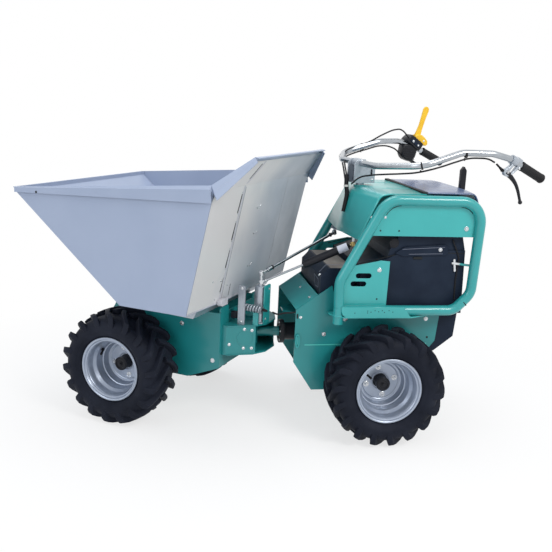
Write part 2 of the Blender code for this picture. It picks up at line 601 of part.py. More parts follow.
hood = folded_sheet("hood", [(-0.4000, 0.8535, -0.3560, 0.8655), (-0.430, 0.8605, -0.430, 0.8665),
                             (-0.560, 0.8640, -0.560, 0.8665)], COWL_SHEET, "teal", rear)
boolean(hood, pin("head_tube_room", "z", (STEM_X, 0, 0), STEM_R + GAP, 0.5, 1.2, None, rear, 24,
                  cutter=True))
lid = prism("rear_lid", [(-0.5603, 0.868), (-0.725, 0.864), (-0.752, 0.838), (-0.752, 0.770),
                         (-0.748, 0.770), (-0.748, 0.836), (-0.723, 0.860), (-0.5603, 0.864)],
            "y", -HOOD_HALF, HOOD_HALF, "box", rear)
cowl = folded_sheet("cowl", [(-0.3290, 0.7030, -0.3090, 0.7030), (-0.3990, 0.8490, -0.3560, 0.8620)],
                    COWL_SHEET, "teal", rear)
boolean(cowl, prism("cowl_flange", [(-0.350, -0.205), (-0.3285, -0.205), (-0.3090, 0),
                                    (-0.3285, 0.205), (-0.350, 0.205)], "z", 0.7012, 0.7046, None,
                    rear, cutter=True), "UNION")
for sheet in (hood, lid, cowl):
    for room in rooms:
        boolean(sheet, room)
boolean(cowl, pin("damper_stud", "z", (STUD_X, STUD_Y, 0), 0.005, STUD_Z + 0.0096, 0.7030, None,
                  rear, 12, cutter=True), "UNION")
spun("head_tube", [(0.722, 0.0153), (0.722, STEM_R), (0.868, STEM_R), (0.868, 0.0153)], "z",
     (STEM_X, 0, 0), "teal", rear, 24)
lp = box("lid_post", -0.790, -0.764, -0.011, 0.011, 0.790, 0.944, "black", rear, c=0.006)
boolean(lp, box("lid_post_foot", -0.768, -0.752 - GAP, -0.020, 0.020, 0.790, 0.812, None, rear,
                cutter=True), "UNION")

# ---------------------------------------------------------------- handlebar
prof = [(0.690, 0), (0.690, 0.015), (0.930, 0.015), (0.930, 0)]
st = spun("stem", prof, "z", (0, 0, 0), "zinc", stem, 20)
c, s_ = cos(-BAR_TURN), sin(-BAR_TURN)
ax = c * (ARM_X - STEM_X) - s_ * ARM_Y
ay = s_ * (ARM_X - STEM_X) + c * ARM_Y
L = hypot(ax, ay)
ux, uy = ax / L, ay / L
arm = prism("stem_arm", [(-0.016 * ux - 0.013 * uy, -0.016 * uy + 0.013 * ux),
                         (-0.016 * ux + 0.013 * uy, -0.016 * uy - 0.013 * ux),
                         (ax + 0.011 * ux + 0.010 * uy, ay + 0.011 * uy - 0.010 * ux),
                         (ax + 0.011 * ux - 0.010 * uy, ay + 0.011 * uy + 0.010 * ux)],
            "z", 0.680, 0.692, None, stem, cutter=True)
boolean(st, arm, "UNION")
boolean(st, pin("arm_stud", "z", (ax, ay, 0), 0.005, ARM_Z - BALL_DROP + 0.0113, 0.686, None, stem,
                12, cutter=True), "UNION")
clamp = box("bar_clamp", -0.045, 0.040, -0.028, 0.028, 0.8755, 0.962, "zinc", stem, c=0.008,
            axis="z")
cb = pin("clamp_bore", "z", (0, 0, 0), 0.015 + GAP, 0.5, 0.9303, None, stem, 20, cutter=True)
boolean(clamp, cb)
BAR_Z = 0.930 + GAP + BAR_R + 0.005
bb = pin("bar_bore", "y", (0.012, 0, BAR_Z), BAR_R + 0.0004, -0.2, 0.2, None, stem, 24,
         cutter=True)
boolean(clamp, bb)
HAND_Y = 0.320
half = [(0.012, 0.0, BAR_Z), (0.012, 0.132, BAR_Z), (-0.075, 0.292, 0.962),
        (-0.230, 0.284, 1.008), (-0.330, HAND_Y - 0.004, 1.015), (-0.400, HAND_Y, 0.995),
        (-0.540, HAND_Y - 0.005, 0.928)]
line = [(x, -y, z) for x, y, z in reversed(half[1:])] + half[1:]
path = rounded(line, 0.07, steps=4)
tube("handlebar", path, BAR_R, "chrome", stem, res=2)
room = [path[0] * 1.005 - path[1] * 0.005] + path[1:-1] + [path[-1] * 1.005 - path[-2] * 0.005]
barcut = tube("handlebar_room", room, BAR_R + GAP, None, stem, res=2, cutter=True)
for s, nm in ((1, "left"), (-1, "right")):
    a, b = half[-2], half[-1]
    d = (b[0] - a[0], b[1] - a[1], b[2] - a[2])
    n = hypot(hypot(d[0], d[1]), d[2])
    d = tuple(v / n for v in d)
    p0 = tuple(b[i] - d[i] * 0.100 for i in range(3))
    p1 = tuple(b[i] + d[i] * 0.010 for i in range(3))
    grip = tube("grip_" + nm, [(p0[0], s * p0[1], p0[2]), (p1[0], s * p1[1], p1[2])], 0.017,
                "rubber", stem, res=3)
    boolean(grip, barcut)

# left hand lever in its perch
lever = tube("brake_lever", rounded([(-0.390, HAND_Y, 0.946), (-0.415, HAND_Y, 0.926),
                                     (-0.443, HAND_Y - 0.001, 0.893),
                                     (-0.465, HAND_Y - 0.003, 0.842)], 0.03), 0.006,
             "black", stem, res=2)
boolean(lever, prism("lever_perch", [(-0.418, 1.003), (-0.451, 0.987), (-0.436, 0.957),
                                     (-0.425, 0.948), (-0.400, 0.934), (-0.380, 0.938),
                                     (-0.376, 0.956), (-0.395, 0.966), (-0.410, 0.978)], "y",
                     HAND_Y - 0.014, HAND_Y + 0.014, None, stem, cutter=True), "UNION")
boolean(lever, barcut)

# right hand switch box, tilted over the ribbed body of a second lever
cblock = prism("control_block", [(-0.359, 1.013), (-0.385, 1.038), (-0.442, 1.000),
                                 (-0.421, 0.970)], "y", -HAND_Y - 0.030, -HAND_Y + 0.028, "black",
               stem)
boolean(cblock, prism("second_lever_body", [(-0.350, 0.996), (-0.344, 0.958), (-0.363, 0.934),
                                            (-0.394, 0.925), (-0.411, 0.952), (-0.418, 0.980),
                                            (-0.390, 1.004)], "y", -HAND_Y - 0.022,
                      -HAND_Y + 0.024, None, stem, cutter=True), "UNION")
boolean(cblock, tube("second_lever", [(-0.380, -HAND_Y, 0.945), (-0.412, -HAND_Y, 0.925),
                                      (-0.446, -HAND_Y, 0.905)], 0.006, None, stem, res=2,
                     cutter=True), "UNION")
boolean(cblock, barcut)
blade = [(-0.4045, 1.0256), (-0.4275, 1.076), (-0.4415, 1.135), (-0.4475, 1.149), (-0.455, 1.152),
         (-0.466, 1.146), (-0.468, 1.138), (-0.4465, 1.077), (-0.437, 1.034), (-0.443, 0.9999)]
yellow = prism("yellow_lever", blade, "y", -HAND_Y - 0.005, -HAND_Y + 0.005, "lever", stem)
boolean(yellow, prism("lever_bracket", [(-0.4045, 1.0256), (-0.414, 1.040), (-0.440, 1.036),
                                        (-0.453, 1.026), (-0.466, 1.014), (-0.468, 0.999),
                                        (-0.458, 0.992), (-0.4445, 0.993), (-0.443, 0.9999)], "y",
                      -HAND_Y - 0.016, -HAND_Y + 0.016, None, stem, cutter=True), "UNION")

# ---------------------------------------------------------------- link and damper
def strut_frame(name, parent, at, aim):
    """Empty whose X axis runs from `at` toward `aim`."""
    e = bpy.data.objects.new(name, None)
    e.location = at
    d = [aim[i] - at[i] for i in range(3)]
    e.rotation_euler = (0, -atan2(d[2], hypot(d[0], d[1])), atan2(d[1], d[0]))
    e.parent = parent
    main.objects.link(e)
    return e, hypot(hypot(d[0], d[1]), d[2])


cs, sn = cos(-STEER), sin(-STEER)
post = (cs * POST_X - sn * POST_Y, sn * POST_X + cs * POST_Y)
eye_z = POST_TOP + 0.012
ball = (ARM_X, ARM_Y, ARM_Z - BALL_DROP)
fr, ln = strut_frame("drag_link_axis", rear, ball, (post[0], post[1], eye_z + LINK_RISE))
spun("drag_link", [(-0.010, 0), (-0.010, 0.009), (0.010, 0.009), (0.018, 0.005),
                   (ln - 0.018, 0.005), (ln - 0.010, 0.009), (ln + 0.010, 0.009), (ln + 0.010, 0)],
     "x", (0, 0, 0), "chrome", fr, 16)
stud = (STUD_X, STUD_Y, STUD_Z)
fd, ld = strut_frame("damper_axis", rear, stud, (post[0], post[1], eye_z))
spun("damper_body", [(-0.008, 0), (-0.008, 0.006), (0.012, 0.006), (0.016, DAMPER_R),
                     (0.184, DAMPER_R), (0.186, 0.0115), (0.190, 0.0115), (0.190, 0.0044),
                     (0.018, 0.0044), (0.018, 0)], "x", (0, 0, 0), "black", fd, 20)
spun("damper_rod", [(0.040, 0), (0.040, 0.004), (ld - 0.012, 0.004), (ld - 0.010, 0.008),
                    (ld + 0.008, 0.008), (ld + 0.008, 0)], "x", (0, 0, 0), "chrome", fd, 16)
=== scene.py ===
"""Looks of the walk-behind power buggy: materials, fine pieces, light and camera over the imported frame.

Lengths in metres. Pieces are drawn in the frame of the half they belong to: the origin on the
ground under the articulation pivot, +X to the skip end and +Y to that half's left side.
"""
import json
from math import pi, sin, cos, tan, radians, hypot

import bpy
import bmesh
from mathutils import Matrix, Vector


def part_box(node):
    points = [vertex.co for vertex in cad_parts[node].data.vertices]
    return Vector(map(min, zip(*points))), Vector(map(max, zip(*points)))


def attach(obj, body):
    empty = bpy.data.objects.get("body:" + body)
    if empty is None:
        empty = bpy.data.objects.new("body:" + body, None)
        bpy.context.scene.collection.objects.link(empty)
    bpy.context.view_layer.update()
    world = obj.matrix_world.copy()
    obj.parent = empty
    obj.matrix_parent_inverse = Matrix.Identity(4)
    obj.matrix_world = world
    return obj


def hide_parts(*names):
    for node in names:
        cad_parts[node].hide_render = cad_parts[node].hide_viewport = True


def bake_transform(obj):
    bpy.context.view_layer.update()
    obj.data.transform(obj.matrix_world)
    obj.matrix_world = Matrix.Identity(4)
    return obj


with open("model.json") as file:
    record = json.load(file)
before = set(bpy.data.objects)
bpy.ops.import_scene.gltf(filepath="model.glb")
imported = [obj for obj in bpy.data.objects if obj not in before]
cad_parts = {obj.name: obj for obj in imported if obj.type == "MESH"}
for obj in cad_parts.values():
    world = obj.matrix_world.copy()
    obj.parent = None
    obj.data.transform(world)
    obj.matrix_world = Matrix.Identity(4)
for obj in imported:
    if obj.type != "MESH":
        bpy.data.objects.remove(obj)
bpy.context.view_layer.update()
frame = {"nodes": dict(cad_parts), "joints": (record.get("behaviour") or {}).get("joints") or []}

# ---------------------------------------------------------------- places
JOINT = {j["name"]: j for j in frame["joints"]}
PIVOT = Vector(JOINT["articulation"]["pos_m"])
STEER = radians(33.2)                       # front half turned right at rest
BAR_TURN = radians(12.0)                    # handlebar turned with it
REAR = Matrix.Translation((PIVOT.x, PIVOT.y, 0))
FRONT = REAR @ Matrix.Rotation(-STEER, 4, "Z")
STEM_AT = Vector(JOINT["handlebar_turn"]["pos_m"])
STEM = Matrix.Translation((STEM_AT.x, STEM_AT.y, 0)) @ Matrix.Rotation(BAR_TURN, 4, "Z")
BARS = "steering_bars"
HALF_OF = {"rear_half": REAR, "front_half": FRONT, "skip": FRONT, BARS: STEM}
SIDES = ((1, "left"), (-1, "right"))
DETAIL = 2
# turns that bring a shape's own Z axis onto an axis, and a flat outline across it
AXIS_TURN = {"x": Matrix.Rotation(radians(90), 4, "Y"), "y": Matrix.Rotation(radians(-90), 4, "X"),
             "z": Matrix.Identity(4)}
PLATE_TURN = {"x": Matrix.Rotation(radians(90), 4, "Z") @ Matrix.Rotation(radians(90), 4, "X"),
              "y": Matrix.Rotation(radians(90), 4, "X"), "z": Matrix.Identity(4)}


# ---------------------------------------------------------------- materials
def node(tree, kind, feed=None, **values):
    """New shader node: values by input name, _ for a space, and the sockets that feed its inputs."""
    made = tree.nodes.new("ShaderNode" + kind)
    for key, value in values.items():
        made.inputs[key.replace("_", " ")].default_value = value
    for key, socket in (feed or {}).items():
        tree.links.new(socket, made.inputs[key])
    return made


def new_material(name, **sockets):
    """Material, its nodes and its shader, with the shader's values set by input name."""
    m = bpy.data.materials.new(name)
    m.use_nodes = True
    shader = m.node_tree.nodes["Principled BSDF"]
    for key, value in sockets.items():
        shader.inputs[key.replace("_", " ")].default_value = value
    return m, m.node_tree, shader


def base_colour(tree, shader, factor, *stops):
    """Ramp through stops of (place, colour): the first, the last, then any between."""
    ramp = node(tree, "ValToRGB", {"Fac": factor})
    marks = ramp.color_ramp.elements
    for i, (place, colour) in enumerate(stops):
        mark = marks[i] if i < 2 else marks.new(place)
        mark.position, mark.color = place, (*colour, 1)
    tree.links.new(ramp.outputs["Color"], shader.inputs["Base Color"])


def sheen_and_grain(tree, shader, at, rough, rough_scale, grain):
    """Roughness that wanders between two values, under a relief of (scale, strength, depth)."""
    cloud = node(tree, "TexNoise", {"Vector": at}, Scale=rough_scale, Detail=4.0)
    span = node(tree, "MapRange", {"Value": cloud.outputs[0]}, To_Min=rough[0], To_Max=rough[1])
    tree.links.new(span.outputs["Result"], shader.inputs["Roughness"])
    scale, strength, depth = grain
    pits = node(tree, "TexNoise", {"Vector": at}, Scale=scale, Detail=2.0)
    bump = node(tree, "Bump", {"Height": pits.outputs[0]}, Strength=strength, Distance=depth)
    tree.links.new(bump.outputs["Normal"], shader.inputs["Normal"])


def surface(name, low, high, scale, rough, rough_scale, grain, detail=3.0, span=(0.35, 0.65), kind="TexNoise",
            **sockets):
    """Material whose base colour wanders between two tones."""
    m, tree, shader = new_material(name, **sockets)
    at = node(tree, "TexCoord").outputs["Object"]
    cloud = node(tree, kind, {"Vector": at}, Scale=scale, Detail=detail)
    base_colour(tree, shader, cloud.outputs[0], (span[0], low), (span[1], high))
    sheen_and_grain(tree, shader, at, rough, rough_scale, grain)
    return m


def paint(name, low, high, rough, coat, metal=0.0, relief=0.08, spec=0.5):
    """Sprayed enamel: faint tone drift, orange peel under a clear gloss."""
    return surface(name, low, high, 6.0, (rough - 0.05, rough + 0.07), 22.0, (420.0, relief, 0.0004),
                   Metallic=metal, Coat_Weight=coat, Coat_Roughness=0.12, Specular_IOR_Level=spec)


def metal(name, low, high, rough, scale=40.0, metallic=0.9, relief=0.05, spangle=False):
    """Plated, cast or bare metal."""
    return surface(name, low, high, scale, (max(0.03, rough - 0.08), rough + 0.1), scale,
                   (260.0, relief, 0.0004), span=(0.2, 0.8), kind="TexVoronoi" if spangle else "TexNoise",
                   Metallic=metallic)


def plastic(name, low, high, rough, relief=0.25, scale=900.0, spec=0.5):
    """Moulded plastic or rubber with its fine pitted skin."""
    return surface(name, low, high, 14.0, (rough - 0.07, rough + 0.08), 30.0, (scale, relief, 0.0005),
                   Specular_IOR_Level=spec)


def tyre_rubber():
    """Near-black rubber, matt in patches, with the grain of its mould."""
    return surface("tyre_rubber_moulded", (0.006, 0.008, 0.015), (0.014, 0.017, 0.028), 9.0, (0.52, 0.78),
                   16.0, (300.0, 0.25, 0.0008), detail=5.0, Specular_IOR_Level=0.14)


def wall_painted_reflection():
    """Rear wall of the skip in painted reflection: warm grey on the left, drifting to blue-grey low on the
    right.
    """
    m, tree, shader = new_material("skip_rear_wall_painted_reflection", Metallic=0.15, Coat_Weight=0.15, Coat_Roughness=0.15)
    at = node(tree, "TexCoord").outputs["Object"]
    place = node(tree, "Mapping", {"Vector": at}, Rotation=(0, 0, STEER),
                 Location=FRONT.inverted().translation)
    part = node(tree, "SeparateXYZ", {0: place.outputs["Vector"]})
    cloud = node(tree, "TexNoise", {"Vector": at}, Scale=5.0, Detail=3.0, Distortion=0.6)
    across = node(tree, "MapRange", {"Value": part.outputs["Y"]}, From_Min=-0.36, From_Max=0.26)
    rise = node(tree, "MapRange", {"Value": part.outputs["Z"]}, From_Min=0.46, From_Max=0.98, To_Max=0.22)
    drift = node(tree, "MapRange", {"Value": cloud.outputs[0]}, To_Min=-0.22, To_Max=0.22)
    total = across.outputs["Result"]
    for extra in (rise, drift):
        total = node(tree, "Math", {0: total, 1: extra.outputs["Result"]}).outputs[0]
    # painted reflection: warm grey high and on the left, blue-grey low on the right
    base_colour(tree, shader, total, (0.05, (0.12, 0.175, 0.23)), (1.0, (0.72, 0.705, 0.7)),
                (0.55, (0.42, 0.46, 0.53)))
    sheen_and_grain(tree, shader, at, (0.3, 0.5), 14.0, (8.0, 0.1, 0.004))
    return m


# the slot that each look stands for, and its material
LOOK = {
    "teal": ("teal_paint", paint("teal_enamel", (0.018, 0.305, 0.305), (0.024, 0.34, 0.338), 0.3, 0.4)),
    # painted light: a lighter copy of the teal enamel for the side sheets, decks and cowl that stand in the
    # light
    "sheet": ("teal_paint", paint("teal_sheet_painted_light", (0.03, 0.375, 0.368), (0.038, 0.41, 0.4), 0.3, 0.4)),
    # painted shade: a darker copy of the teal enamel for the chassis and pivot housing that stand in shade
    "frame": ("teal_paint", paint("teal_chassis_painted_shade", (0.009, 0.215, 0.222), (0.013, 0.24, 0.246), 0.34, 0.3)),
    "skip": ("skip_paint", paint("skip_powder_coat", (0.33, 0.39, 0.52), (0.35, 0.41, 0.54), 0.42, 0.12, 0.1,
                                 0.12)),
    "zinc": ("galvanised", metal("zinc_plate", (0.26, 0.3, 0.35), (0.42, 0.46, 0.51), 0.36, 70.0, 0.7, 0.05,
                                 True)),
    "bolt": ("galvanised", metal("zinc_bolt", (0.55, 0.57, 0.6), (0.8, 0.82, 0.84), 0.26, 120.0, 0.85)),
    "rim": ("rim_metal", metal("rim_silver", (0.33, 0.38, 0.47), (0.43, 0.48, 0.57), 0.34, 30.0, 0.6, 0.06)),
    "chrome": ("bright_chrome", metal("bright_tube", (0.38, 0.41, 0.44), (0.48, 0.51, 0.55), 0.2, 25.0, 1.0,
                                      0.02)),
    "brass": ("galvanised", metal("passivated_steel", (0.34, 0.24, 0.08), (0.56, 0.44, 0.2), 0.4, 90.0, 0.8)),
    "black": ("black_satin", paint("black_satin", (0.007, 0.008, 0.012), (0.011, 0.012, 0.017), 0.4, 0.04,
                                   0.0, 0.08, 0.25)),
    "box": ("dark_plastic", plastic("dark_moulding", (0.009, 0.016, 0.032), (0.014, 0.023, 0.042), 0.44, 0.2,
                                    700.0, 0.14)),
    "lid": ("dark_plastic", plastic("navy_lid", (0.08, 0.115, 0.225), (0.105, 0.15, 0.275), 0.22, 0.05, 300.0,
                                    0.7)),
    "cable": ("dark_plastic", plastic("cable_sheath", (0.006, 0.006, 0.008), (0.012, 0.012, 0.015), 0.45, 0.1,
                                      900.0, 0.22)),
    "grip": ("grip_rubber", plastic("grip_rubber_soft", (0.01, 0.01, 0.012), (0.02, 0.021, 0.024), 0.62, 0.4,
                                    500.0, 0.25)),
    "tie": ("dark_plastic", plastic("pale_tie", (0.55, 0.54, 0.5), (0.66, 0.65, 0.62), 0.45, 0.1)),
    "yellow": ("yellow_plastic", plastic("yellow_moulding", (0.86, 0.47, 0.012), (0.93, 0.56, 0.025), 0.36,
                                         0.15, 500.0)),
    "band": ("galvanised", plastic("blank_band", (0.48, 0.5, 0.58), (0.6, 0.62, 0.7), 0.34, 0.05, 200.0)),
    "dark": ("black_satin", plastic("deep_recess", (0.004, 0.006, 0.007), (0.008, 0.01, 0.012), 0.8, 0.1)),
    # painted highlight: pale skip paint along lit hems, seams and folds; the stop lug is drawn in it too
    "hem": ("skip_paint", paint("skip_hem_painted_highlight", (0.5, 0.5, 0.54), (0.6, 0.6, 0.64), 0.36, 0.1, 0.1, 0.1)),
    "shade": ("skip_paint", paint("skip_fold_shade", (0.2, 0.21, 0.24), (0.25, 0.26, 0.29), 0.4, 0.1)),
    # painted highlight: lighter navy for moulded edges, strap rims and the emboss outline
    "edge": ("dark_plastic", plastic("moulded_edge_painted_highlight", (0.09, 0.105, 0.15), (0.12, 0.135, 0.18), 0.4, 0.05,
                                     300.0)),
    # pale top: dust together with painted light on the lit top face
    "dust_and_light": ("dark_plastic", plastic("dust_and_painted_light_top", (0.22, 0.19, 0.17), (0.3, 0.27, 0.24), 0.6, 0.1, 300.0,
                                     0.3)),
    # painted highlight: a pale teal for the lit fold of the chassis
    "teal_painted_highlight": ("teal_paint", paint("teal_fold_painted_highlight", (0.075, 0.5, 0.44), (0.085, 0.54, 0.475), 0.3, 0.3)),
    # the rear wall's painted reflection
    "wall": ("skip_paint", wall_painted_reflection()),
    "rubber": ("tyre_rubber", tyre_rubber()),
}


# ---------------------------------------------------------------- making pieces
def put(ob, look, body, at=None, replaces=()):
    """Give a piece its material and its body. `at` is its place; the body's half by default."""
    bpy.context.scene.collection.objects.link(ob)
    place = HALF_OF[body] if at is None else at
    if ob.type == "MESH" or ob.data.dimensions == "3D":
        ob.data.transform(place)
        place = Matrix.Identity(4)
    ob.matrix_world = place
    slot, material = LOOK[look]
    ob.data.materials.clear()
    ob.data.materials.append(material)
    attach(ob, body)
    if replaces:
        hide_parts(*replaces)
    return ob


def from_bm(name, bm, look, body, at=None, replaces=(), angle=35):
    """Piece made of a finished bmesh; edges past the angle stay sharp."""
    bmesh.ops.recalc_face_normals(bm, faces=bm.faces)
    me = bpy.data.meshes.new(name)
    bm.to_mesh(me)
    bm.free()
    me.shade_smooth()
    me.set_sharp_from_angle(angle=radians(angle))
    return put(bpy.data.objects.new(name, me), look, body, at, replaces)


def bevel(ob, width, segments=2, angle=35):
    """Rounded edges, where faces meet past the angle."""
    m = ob.modifiers.new("edge", "BEVEL")
    m.width = width
    m.segments = segments
    m.limit_method = "ANGLE"
    m.angle_limit = radians(angle)
    m.harden_normals = False


def solid(ob, thick):
    """Sheet thickness, laid to the inside."""
    m = ob.modifiers.new("wall", "SOLIDIFY")
    m.thickness = thick
    m.offset = -1.0
    m.use_even_offset = True


def net(bm, rows):
    """Faces between neighbouring rows of vertices."""
    for a, b in zip(rows, rows[1:]):
        for k in range(len(a) - 1):
            bm.faces.new((a[k], a[k + 1], b[k + 1], b[k]))


def lathe(bm, profile, matrix, n=48, closed=False):
    """Profile of (along, radius) turned about matrix's Z axis; radius 0 closes the end."""
    rings = []
    for along, radius in profile:
        turns = [2 * pi * k / n for k in range(n if radius > 1e-6 else 1)]
        rings.append([bm.verts.new(matrix @ Vector((radius * cos(a), radius * sin(a), along)))
                      for a in turns])
    for a, b in zip(rings, rings[1:] + rings[:1] if closed else rings[1:]):
        if len(a) + len(b) > 2:
            for k in range(n):
                j = (k + 1) % n
                corners = a[k % len(a)], b[k % len(b)], b[j % len(b)], a[j % len(a)]
                bm.faces.new(tuple(dict.fromkeys(corners)))


def turned(name, profile, axis, centre, look, body, n=64, replaces=(), at=None, closed=False):
    """Piece turned about an axis: profile of (along, radius)."""
    bm = bmesh.new()
    lathe(bm, profile, Matrix.Translation(centre) @ AXIS_TURN[axis], n, closed)
    return from_bm(name, bm, look, body, at, replaces)


def facing(point, normal):
    """Matrix at a point whose Z axis is the normal."""
    return Matrix.Translation(point) @ Vector(normal).to_track_quat("Z", "Y").to_matrix().to_4x4()


def along(a, b):
    """Matrix at a whose Z axis points to b."""
    return facing(a, Vector(b) - Vector(a))


def hex_head(bm, m, r, h=None, washer=True):
    """Washer, and hexagon head with a chamfered crown."""
    h = h or r * 0.75
    base = r * 0.28 if washer else 0.0
    if washer:
        lathe(bm, [(0, r * 1.55), (r * 0.22, r * 1.55), (base, r * 1.45), (base, 0)], m, 24)
    lathe(bm, [(base, r), (base + h * 0.82, r), (base + h, r * 0.82), (base + h, 0)], m, 6)


def dome_head(bm, m, r):
    """Button head with its socket."""
    lathe(bm, [(0, r * 1.35), (r * 0.15, r * 1.35), (r * 0.2, r), (r * 0.5, r * 0.93), (r * 0.72, r * 0.66),
               (r * 0.75, r * 0.48)], m, 24)
    lathe(bm, [(r * 0.75, r * 0.48), (r * 0.35, r * 0.46), (r * 0.35, 0)], m, 24)


FASTENER_SCALE = 0.87


def screws(name, items, look, body, at=None):
    """Many fasteners in one piece: (point, normal, radius, kind)."""
    bm = bmesh.new()
    for point, normal, size, kind in items:
        m, r = facing(point, normal), size * FASTENER_SCALE
        if kind == "dome":
            dome_head(bm, m, r)
        else:
            hex_head(bm, m, r)
        if kind == "nut":
            lathe(bm, [(r * 0.9, r * 0.55), (r * 1.6, r * 0.55), (r * 1.7, r * 0.45), (r * 1.7, 0)], m, 16)
    return from_bm(name, bm, look, body, at, angle=30)


def round_bar(name, points, r, closed=False, bez=True, res=None, taper=None):
    """Curve with a round section through points."""
    cu = bpy.data.curves.new(name, "CURVE")
    cu.dimensions = "3D"
    cu.bevel_depth = r
    cu.bevel_resolution = res or (3 if r < 0.006 else 8)
    cu.use_fill_caps = not closed
    sp = cu.splines.new("BEZIER" if bez else "POLY")
    knots = sp.bezier_points if bez else sp.points
    knots.add(len(points) - 1)
    for q, p in zip(knots, points):
        if bez:
            q.co = p
            q.handle_left_type = q.handle_right_type = "AUTO"
        else:
            q.co = (*p, 1)
    if bez:
        cu.resolution_u = 10
    sp.use_cyclic_u = closed
    for q, t in zip(knots, taper or ()):
        q.radius = t
    return bpy.data.objects.new(name, cu)


def curve_piece(name, points, r, look, body, closed=False, replaces=(), bez=True, res=None, taper=None):
    """Round bar, tube or cable through points."""
    return put(round_bar(name, points, r, closed, bez, res, taper), look, body, replaces=replaces)


def bending_cable(name, points, r, look):
    """Cable in world metres between two bodies, fixed in place and attached to neither."""
    slot, material = LOOK[look]
    me = bpy.data.meshes.new_from_object(round_bar(name + "_line", points, r, res=4))
    me.name = name
    me.shade_smooth()
    me.materials.clear()
    me.materials.append(material)
    ob = bpy.data.objects.new(name, me)
    bpy.context.scene.collection.objects.link(ob)
    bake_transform(ob)


def arc_path(points, radius, closed=False, steps=8):
    """Path with each corner replaced by an arc of the given radius."""
    pts = [Vector(p) for p in points]
    n = len(pts)
    out = []
    for i, p in enumerate(pts):
        ends = not closed and i in (0, n - 1)
        a, b = pts[i - 1] - p, pts[(i + 1) % n] - p
        angle = pi if ends else a.angle(b)
        if angle > pi - 0.05:
            out.append(p)
            continue
        want = radius[i] if isinstance(radius, (list, tuple)) else radius
        half = tan(angle / 2)
        cut = min(want / half, a.length * 0.45, b.length * 0.45)
        a.normalize()
        b.normalize()
        centre = p + (a + b).normalized() * (cut * half / sin(angle / 2))
        s, e = (p + a * cut) - centre, (p + b * cut) - centre
        full = s.angle(e)
        for k in range(steps + 1):
            t = k / steps
            out.append(centre + (s * sin((1 - t) * full) + e * sin(t * full)) / sin(full))
    return out


def plate(name, outline, axis, lo, hi, look, body, edge=0.0008, replaces=(), holes=()):
    """Flat plate: outline in the two axes left after `axis`, thick from lo to hi, edges broken."""
    cu = bpy.data.curves.new(name, "CURVE")
    cu.dimensions = "2D"
    cu.fill_mode = "BOTH"
    cu.extrude = (hi - lo) / 2 - edge
    cu.bevel_depth = edge
    cu.bevel_resolution = 1
    cu.offset = -edge
    for loop in (outline, *holes):
        sp = cu.splines.new("POLY")
        sp.points.add(len(loop) - 1)
        for q, (u, v) in zip(sp.points, loop):
            q.co = (u, v, 0, 1)
        sp.use_cyclic_u = True
    shift = Vector((0, 0, 0))
    shift["xyz".index(axis)] = (lo + hi) / 2
    at = HALF_OF[body] @ Matrix.Translation(shift) @ PLATE_TURN[axis]
    return put(bpy.data.objects.new(name, cu), look, body, at, replaces)


def ends(u0, u1, v0, v1):
    """Four corners, from u0 to u1 and from v0 to v1: a sleeve's section or an oblong outline."""
    return [(u0, v0), (u0, v1), (u1, v1), (u1, v0)]


def slot_outline(u, v, length, height, turn=0.0):
    """Slot with round ends, centred at u, v."""
    r, h, n = height / 2, (length - height) / 2, 8
    pts = [(end * (h + r * cos(a)), end * r * sin(a)) for end in (1, -1)
           for a in [-pi / 2 + pi * k / n for k in range(n + 1)]]
    c, s = cos(turn), sin(turn)
    return [(u + c * x - s * y, v + s * x + c * y) for x, y in pts]


def carry(name, look, edge=0.0012):
    """Keep a CAD node, with its material and softened edges."""
    ob = frame["nodes"][name]
    ob.data.materials.clear()
    ob.data.materials.append(LOOK[look][1])
    ob.data.shade_smooth()
    ob.data.set_sharp_from_angle(angle=radians(30))
    bevel(ob, edge)


# ---------------------------------------------------------------- details laid on a surface
def inlay(bm, a, b, width, normal, lift=0.0004, deep=0.0012):
    """Round-ended strip from a to b lying on a surface, standing `lift` proud of it."""
    a, b, n = Vector(a), Vector(b), Vector(normal).normalized()
    u = b - a
    length = u.length + width
    u.normalize()
    v = n.cross(u)
    mid = (a + b) / 2
    ring = slot_outline(0, 0, length, width)
    top, low = ([bm.verts.new(mid + u * x + v * y + n * h) for x, y in ring] for h in (lift, -deep))
    bm.faces.new(top)
    bm.faces.new(low[::-1])
    for k in range(len(ring)):
        j = (k + 1) % len(ring)
        bm.faces.new((top[k], top[j], low[j], low[k]))


def inlays(name, items, look, body):
    """Many inlays in one piece: (from, to, width, normal, lift)."""
    bm = bmesh.new()
    for item in items:
        inlay(bm, *item)
    return from_bm(name, bm, look, body, angle=40)


def dot(x, y, z, width, normal):
    """Inlay as a round spot."""
    return Vector((x, y, z)), Vector((x + 0.0001, y, z)), width, normal


def strip(place, p, q, width, lift):
    """Inlay between p and q on a surface: place(*p) gives a point on it and its normal."""
    (a, n), (b, _) = place(*p), place(*q)
    return a, b, width, n, lift


def edges(corners):
    """Pairs of neighbours round a closed outline."""
    return zip(corners, corners[1:] + corners[:1])


def skin(node_name, body, point, direction):
    """Where the line from a point first meets a CAD node, and the normal there, in the half's frame."""
    m = HALF_OF[body]
    ok, at, normal, _ = frame["nodes"][node_name].ray_cast(m @ Vector(point), m.to_3x3() @ Vector(direction))
    if not ok:
        raise ValueError(f"{node_name}: no surface along the line from {point}")
    return m.inverted() @ at, m.to_3x3().inverted() @ normal


def fasten(name, node_name, body, items):
    """Screws set on a CAD node: (point, direction toward it, radius, kind)."""
    return screws(name, [(*skin(node_name, body, point, direction), r, kind)
                         for point, direction, r, kind in items], "bolt", body)


